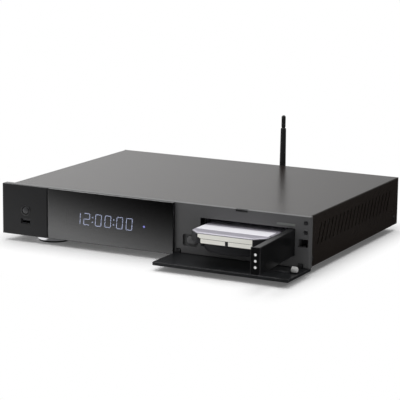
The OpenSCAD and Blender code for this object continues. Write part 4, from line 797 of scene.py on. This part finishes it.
def makeLatch():
    s = latchSizes
    low, high = boxOf("latch_slider")
    x, z, end = (low[0] + high[0]) / 2, (low[2] + high[2]) / 2, high[1]
    t = np.linspace(0, math.pi / 2, s["steps"])  # quarter ellipses from the rim to the flat of the knob
    dome = np.stack([s["front"] + s["dome"] * (1 - np.sin(t)), s["soft"] * (1 - np.cos(t))], 1)
    knob = rectangle(s["wide"], s["high"], s["corner"], steps=10) + [x, z]
    shapes = [slab(knob, [*dome[::-1], [s["back"], 0]], "y")]
    for half, y0, y1 in (
        (s["neck"], s["back"] - s["neckLap"], end - s["neckEnd"]),
        (s["foot"], end - s["footThick"], end),
    ):
        shapes.append(softBox((x - half, y0, z - half), (x + half, y1, z + half), s["rim"], axis="y"))
    makePiece("latchSlider", shapes, "latch", "black_plastic", "knobBlack", "latch_slider")


makeLatch()

# Flap's buffer: a smooth white roller on its strip
bufferSizes = dict(stem=1.2, left=204.4, dome=3.5)


def makeBuffer():
    s = bufferSizes
    low, high = boxOf("flap_buffer")
    radius, right = (high[2] - low[2]) / 2, high[0]
    profile = filleted([(pole, low[0], 0), (s["stem"], low[0], 0.1), (s["stem"], s["left"], 0.1),
        (radius, s["left"], 0.4), (radius, right, s["dome"]), (pole, right, 0)], steps=7)
    at = (0, (low[1] + high[1]) / 2, (low[2] + high[2]) / 2)
    makePiece("flapBuffer", [lathe(profile, "x", at)], "flap", "white_plastic", "bufferWhite",
        "flap_buffer")


makeBuffer()

# Feet: bright turned rings
footSizes = dict(radius=21.5, wall=3.4, hole=1.6, floor=2, low=-7.4, high=0.5, xs=(-157, 157), ys=(34.5, 266))


def makeFeet():
    s = footSizes
    r, hole, z0, z1, floor = s["radius"], s["hole"], s["low"], s["high"], s["low"] + s["floor"]
    profile = filleted([(hole, floor, 0), (r - s["wall"], floor, 0.8), (r - s["wall"], z0 + 0.1, 0.5),
        (r - 0.9, z0, 0.3), (r - 0.05, z0 + 0.8, 0.5), (r, z1 - 2.2, 0.5), (r - 0.6, z1 - 1.3, 0.3),
        (r - 2.2, z1 - 1.2, 0.3), (r - 3, z1, 0.3), (hole, z1, 0)], steps=5)
    shapes = [lathe(profile, "z", (x, y, 0), around=96) for x in s["xs"] for y in s["ys"]]
    makePiece("footRings", shapes, "chassis", "chrome_ring", "chrome", "foot_rings")


makeFeet()

# Antenna: a tapering whip with its tang, and a cap with a waist
antennaSizes = dict(x=33.0, y=327.0, z=30.0, fork=5.0, tang=4.6, tangHole=1.25, tangIn=0.6,
    neck=4.2, neckLow=1, neckHigh=7, collar=(11.6, 12.0, 12.8, 13.2), waist=0.35, foot=4.5, top=3.7, end=113.4,
    cap=2.9, capWaist=0.5, lap=0.05, tip=131.0)


def makeAntenna():
    s = antennaSizes
    x, y, z, half = s["x"], s["y"], s["z"], s["tang"] / 2
    foot, waist, top, end, fork = s["foot"], s["foot"] - s["waist"], s["top"], s["end"], z + s["fork"]
    a, b, c, d = (z + up for up in s["collar"])
    whip = filleted([(pole, fork + 0.4, 0), (foot - 0.5, fork + 0.5, 0.3), (foot, fork + 1.6, 0.5),
        (foot, a, 0.2), (waist, b, 0.1), (waist, c, 0.1), (foot - 0.05, d, 0.3), (top + 0.05, end - 3, 0.6),
        (top - 0.1, end - 1.0, 0.4), (top - 0.8, end - 0.1, 0.4), (pole, end, 0)])
    hole, rim = s["tangHole"], s["fork"] - s["tangIn"]
    tang = filleted([(hole, -half, 0), (rim, -half, 0.4), (rim, half, 0.4), (hole, half, 0)])
    neck = (x - half, y - s["neck"], z + s["neckLow"]), (x + half, y + s["neck"], z + s["neckHigh"])
    shapes = [lathe(whip, "z", (x, y, 0), around=56), lathe(tang, "x", (x, y, z)), softBox(*neck, radius=0.5)]
    makePiece("antennaWhip", shapes, "antenna", "black_plastic", "antennaBlack", "antenna_whip")
    r, tip, waist, low = s["cap"], s["tip"], s["cap"] - s["capWaist"], end - s["lap"]
    cap = filleted([(pole, low, 0), (waist, low, 0.1), (waist, end + 0.9, 0.2), (r, end + 1.4, 0.4),
        (r, tip - 2.0, 0.9), (r - 1.1, tip - 0.35, 0.9), (pole, tip, 0)], steps=5)
    makePiece("antennaCap", [lathe(cap, "z", (x, y, 0))], "antenna", "black_plastic", "antennaBlack",
        "antenna_cap")


makeAntenna()

# Round sound and picture sockets: barrels with coloured insulators in a black block
jackSizes = dict(xs=(79.5, 95.5, 111.5, 133.5, 149.5, 165.5), zs=(20.0, 38.0), outer=4.2, inner=3.5,
    insulator=3.45, pin=1.6, rear=310.2, panel=1.4, blockRim=0.5, barrelFront=308.0, floor=(309.6, 309.4),
    coreFront=309.7, pinHole=(311.5, 311.4))
jackColours = {
    "insulatorRed": (0, 3), "insulatorWhite": (1, 4), "insulatorYellow": (2, 8), "insulatorGreen": (5, 6),
    "insulatorBlue": (7, 9),
}


def makeJacks():
    s = jackSizes
    low, high = boxOf("sound_picture_jacks")
    spots, end = [(x, 0, z) for z in s["zs"] for x in s["xs"]], high[1]
    block = softBox(low, (high[0], s["rear"] - s["panel"], high[2]), s["blockRim"])
    makePiece("jackBlock", [block], "chassis", "black_plastic", "mouldedBlack")
    r, hole = s["outer"], s["inner"]
    barrel = [[r, s["barrelFront"]], [r, end - 0.4], [r - 0.3, end], [hole + 0.15, end], [hole, end - 0.3],
        [hole, s["floor"][0]], [pole, s["floor"][1]]]
    makePiece("jackBarrels", [lathe(barrel, "y", spot, around=40) for spot in spots], "chassis", "brass_plated",
        "goldPlate", "sound_picture_jacks")
    r, pin, face = s["insulator"], s["pin"], end - 2.1
    core = [[r, s["coreFront"]], [r, end - 2.4], [r - 0.3, face], [pin + 0.2, face], [pin, end - 2.4],
        [pin, s["pinHole"][0]], [pole, s["pinHole"][1]]]
    cores = [lathe(core, "y", spot, around=32) for spot in spots]
    for colour, members in jackColours.items():
        makePiece("jack" + colour[0].upper() + colour[1:], [cores[m] for m in members], "chassis",
            "black_plastic", colour)
    coloured = {m for members in jackColours.values() for m in members}
    rest = [core for m, core in enumerate(cores) if m not in coloured]
    makePiece("jackInsulatorsPlain", rest, "chassis", "black_plastic", "mouldedBlack")


makeJacks()
print("pieces made")

# Stage: a pale floor that turns into plain white away from the object, a pale room, one softbox and the camera
floorSizes = dict(reach=7.0, under=0.0002, tone=0.93, rough=0.9, shine=0.1, lift=0.1,
    footprint=(-0.2, 0.2, -0.16, 0.21), fadeRight=2.5, fade=(0.01, 0.11),
    # Gloss sees the floor at a strength of 1 or less. The six numbers are a least squares fit to brightness
    # readings on the photograph's window. A row below them is two strengths and then their two places.
    glossTerms=(-0.158, -4.359, 7.597, 44.322, -12.469, -39.193),
    glossUnder=(1.0, 0.12, -0.035, -0.008), glossRing=(1.0, 0.0, -0.168, -0.158),
    glossRight=(1.0, 0.2, 0.05, 0.2))


def rampValues(tree, value, *spots):  # straight lines between (value, result) spots
    parts = [mapValues(tree, value, 0, d - c, a, b) for (a, c), (b, d) in zip(spots, spots[1:])]
    total = parts[0]
    for part in (*parts[1:], spots[0][1]):
        total = mathNode(tree, "ADD", total, part)
    return total


def farFromObject(tree, x, y):  # distance outside the footprint's rectangle, counted more to the right
    s = floorSizes
    x0, x1, y0, y1 = s["footprint"]
    squares = []
    for place, low, high, more in ((x, x0, x1, s["fadeRight"]), (y, y0, y1, 1.0)):
        below = mathNode(tree, "SUBTRACT", low, place)
        above = mathNode(tree, "MULTIPLY", mathNode(tree, "SUBTRACT", place, high), more)
        outside = mathNode(tree, "MAXIMUM", mathNode(tree, "MAXIMUM", below, above), 0.0)
        squares.append(mathNode(tree, "MULTIPLY", outside, outside))
    return mathNode(tree, "SQRT", mathNode(tree, "ADD", *squares))


def floorGloss(tree, x, y):
    # e to the power of a + b x + c y + d x y + e x x + f y y, but 1 at most, with y from the face: pale close
    # to the front's left end, darker further out and to the right, and dark under the case as a painted shadow
    # that reflections see, except under its left end
    s = floorSizes
    y = mathNode(tree, "MINIMUM", mathNode(tree, "SUBTRACT", y, float(facePlace[1])), 0.0)
    power = s["glossTerms"][0]
    for k, parts in zip(s["glossTerms"][1:], ((x,), (y,), (x, y), (x, x), (y, y))):
        term = parts[0] if len(parts) == 1 else mathNode(tree, "MULTIPLY", *parts)
        power = mathNode(tree, "ADD", mathNode(tree, "MULTIPLY", term, k), power)
    near = mathNode(tree, "MINIMUM", mathNode(tree, "EXPONENT", power), 1.0)
    under = mathNode(tree, "MAXIMUM", mapValues(tree, y, *s["glossUnder"]), mapValues(tree, x, *s["glossRing"]))
    right = mathNode(tree, "MULTIPLY", mapValues(tree, x, *s["glossRight"]), under)
    return mathNode(tree, "MULTIPLY", near, right)


def makeFloor():
    s = floorSizes
    r = s["reach"]
    mesh = bpy.data.meshes.new("floor")
    mesh.from_pydata([(-r, -r, 0), (r, -r, 0), (r, r, 0), (-r, r, 0)], [], [(0, 1, 2, 3)])
    floor = bpy.data.objects.new("floor", mesh)
    bpy.context.scene.collection.objects.link(floor)
    floor.location.z = cadLow.z - s["under"]
    material = bpy.data.materials.new("paleFloor")
    material.use_nodes = True
    tree = material.node_tree
    path = addNode(tree, "LightPath").outputs
    x, y = addNode(tree, "SeparateXYZ", {0: addNode(tree, "TexCoord").outputs["Object"]}).outputs[:2]
    shader = tree.nodes["Principled BSDF"]
    setInputs(tree, shader, {
        "Base Color": (s["tone"], s["tone"], s["tone"], 1),
        "Roughness": s["rough"],
        "Specular IOR Level": s["shine"],
        "Emission Color": (1, 1, 1, 1),
        "Emission Strength": mathNode(tree, "MULTIPLY", path["Is Camera Ray"], s["lift"]),
    })
    white = addNode(tree, "Emission").outputs[0]
    fade = mapValues(tree, farFromObject(tree, x, y), 0, 1, *s["fade"])
    faded = mixShaders(tree, fade, shader.outputs[0], white)
    gloss = addNode(tree, "Emission", {"Strength": floorGloss(tree, x, y)}).outputs[0]
    seen = mixShaders(tree, path["Is Glossy Ray"], faded, gloss)
    tree.links.new(seen, tree.nodes["Material Output"].inputs["Surface"])
    mesh.materials.append(material)


worldSizes = dict(
    # rows of the direction's part to the right or to the back, and the strength there
    around=((-0.9, 0.85), (0.0, 0.5), (0.7, 0.12)),
    glossBack=((-0.95, 0.5), (-0.5, 0.04), (-0.25, 0.04), (0.5, 1.0)),
    glossRight=((-0.52, 1.0), (-0.33, 0.5), (0.35, 0.1)))


def makeWorld():
    # lit more from the left; gloss sees a pale wall behind the object, fading to the right and to the front;
    # the camera, and what is seen through glass, get plain white
    s = worldSizes
    world = bpy.data.worlds.new("studio")
    bpy.context.scene.world = world
    world.use_nodes = True
    tree = world.node_tree
    tree.nodes.clear()
    path = addNode(tree, "LightPath").outputs
    x, y = addNode(tree, "SeparateXYZ", {0: addNode(tree, "TexCoord").outputs["Generated"]}).outputs[:2]
    back, right = rampValues(tree, y, *s["glossBack"]), rampValues(tree, x, *s["glossRight"])
    gloss = mathNode(tree, "MULTIPLY", back, right)
    lit = mixNumbers(tree, path["Is Glossy Ray"], rampValues(tree, x, *s["around"]), gloss)
    through = mathNode(tree, "MAXIMUM", path["Is Camera Ray"], path["Is Transmission Ray"])
    white = {"Color": (1, 1, 1, 1), "Strength": mixNumbers(tree, through, lit, 1.0)}
    addNode(tree, "OutputWorld", {"Surface": addNode(tree, "Background", white).outputs[0]})


lampSizes = dict(side=2.2, at=(-0.15, -0.1, 1.6), power=24.0)


def makeLamp():
    light = bpy.data.lights.new("softbox", "AREA")
    light.shape = "SQUARE"
    light.size, light.energy = lampSizes["side"], lampSizes["power"]
    lamp = bpy.data.objects.new("softbox", light)
    lamp.location = lampSizes["at"]
    bpy.context.scene.collection.objects.link(lamp)


cameraSizes = dict(azimuth=26.874, elevation=11.632, roll=0.75, distance=2.2677, target=(0.0, 140.0, 30.0),
    lens=156.2, sensor=36.0, shiftX=0.0001, shiftY=0.0199, nearest=0.05, furthest=60.0)


def makeCamera():
    s = cameraSizes
    camera = bpy.data.cameras.new("camera")
    camera.sensor_width, camera.lens = s["sensor"], s["lens"]
    camera.shift_x, camera.shift_y = s["shiftX"], s["shiftY"]
    camera.clip_start, camera.clip_end = s["nearest"], s["furthest"]
    az, el, roll = (math.radians(s[k]) for k in ("azimuth", "elevation", "roll"))
    back = Vector((math.sin(az) * math.cos(el), -math.cos(az) * math.cos(el), math.sin(el)))
    right = (-back).cross(Vector((0, 0, 1))).normalized()
    up = right.cross(-back)
    tiltedRight = right * math.cos(roll) + up * math.sin(roll)
    tiltedUp = up * math.cos(roll) - right * math.sin(roll)
    eye = bpy.data.objects.new("camera", camera)
    target = Vector(toFrame(s["target"]))
    turn = Matrix((tiltedRight, tiltedUp, back)).transposed().to_4x4()
    eye.matrix_world = Matrix.Translation(target + back * s["distance"]) @ turn
    bpy.context.scene.collection.objects.link(eye)
    bpy.context.scene.camera = eye


makeFloor()
makeWorld()
makeLamp()
makeCamera()
bpy.context.scene.view_settings.view_transform = "Standard"
print("stage made")
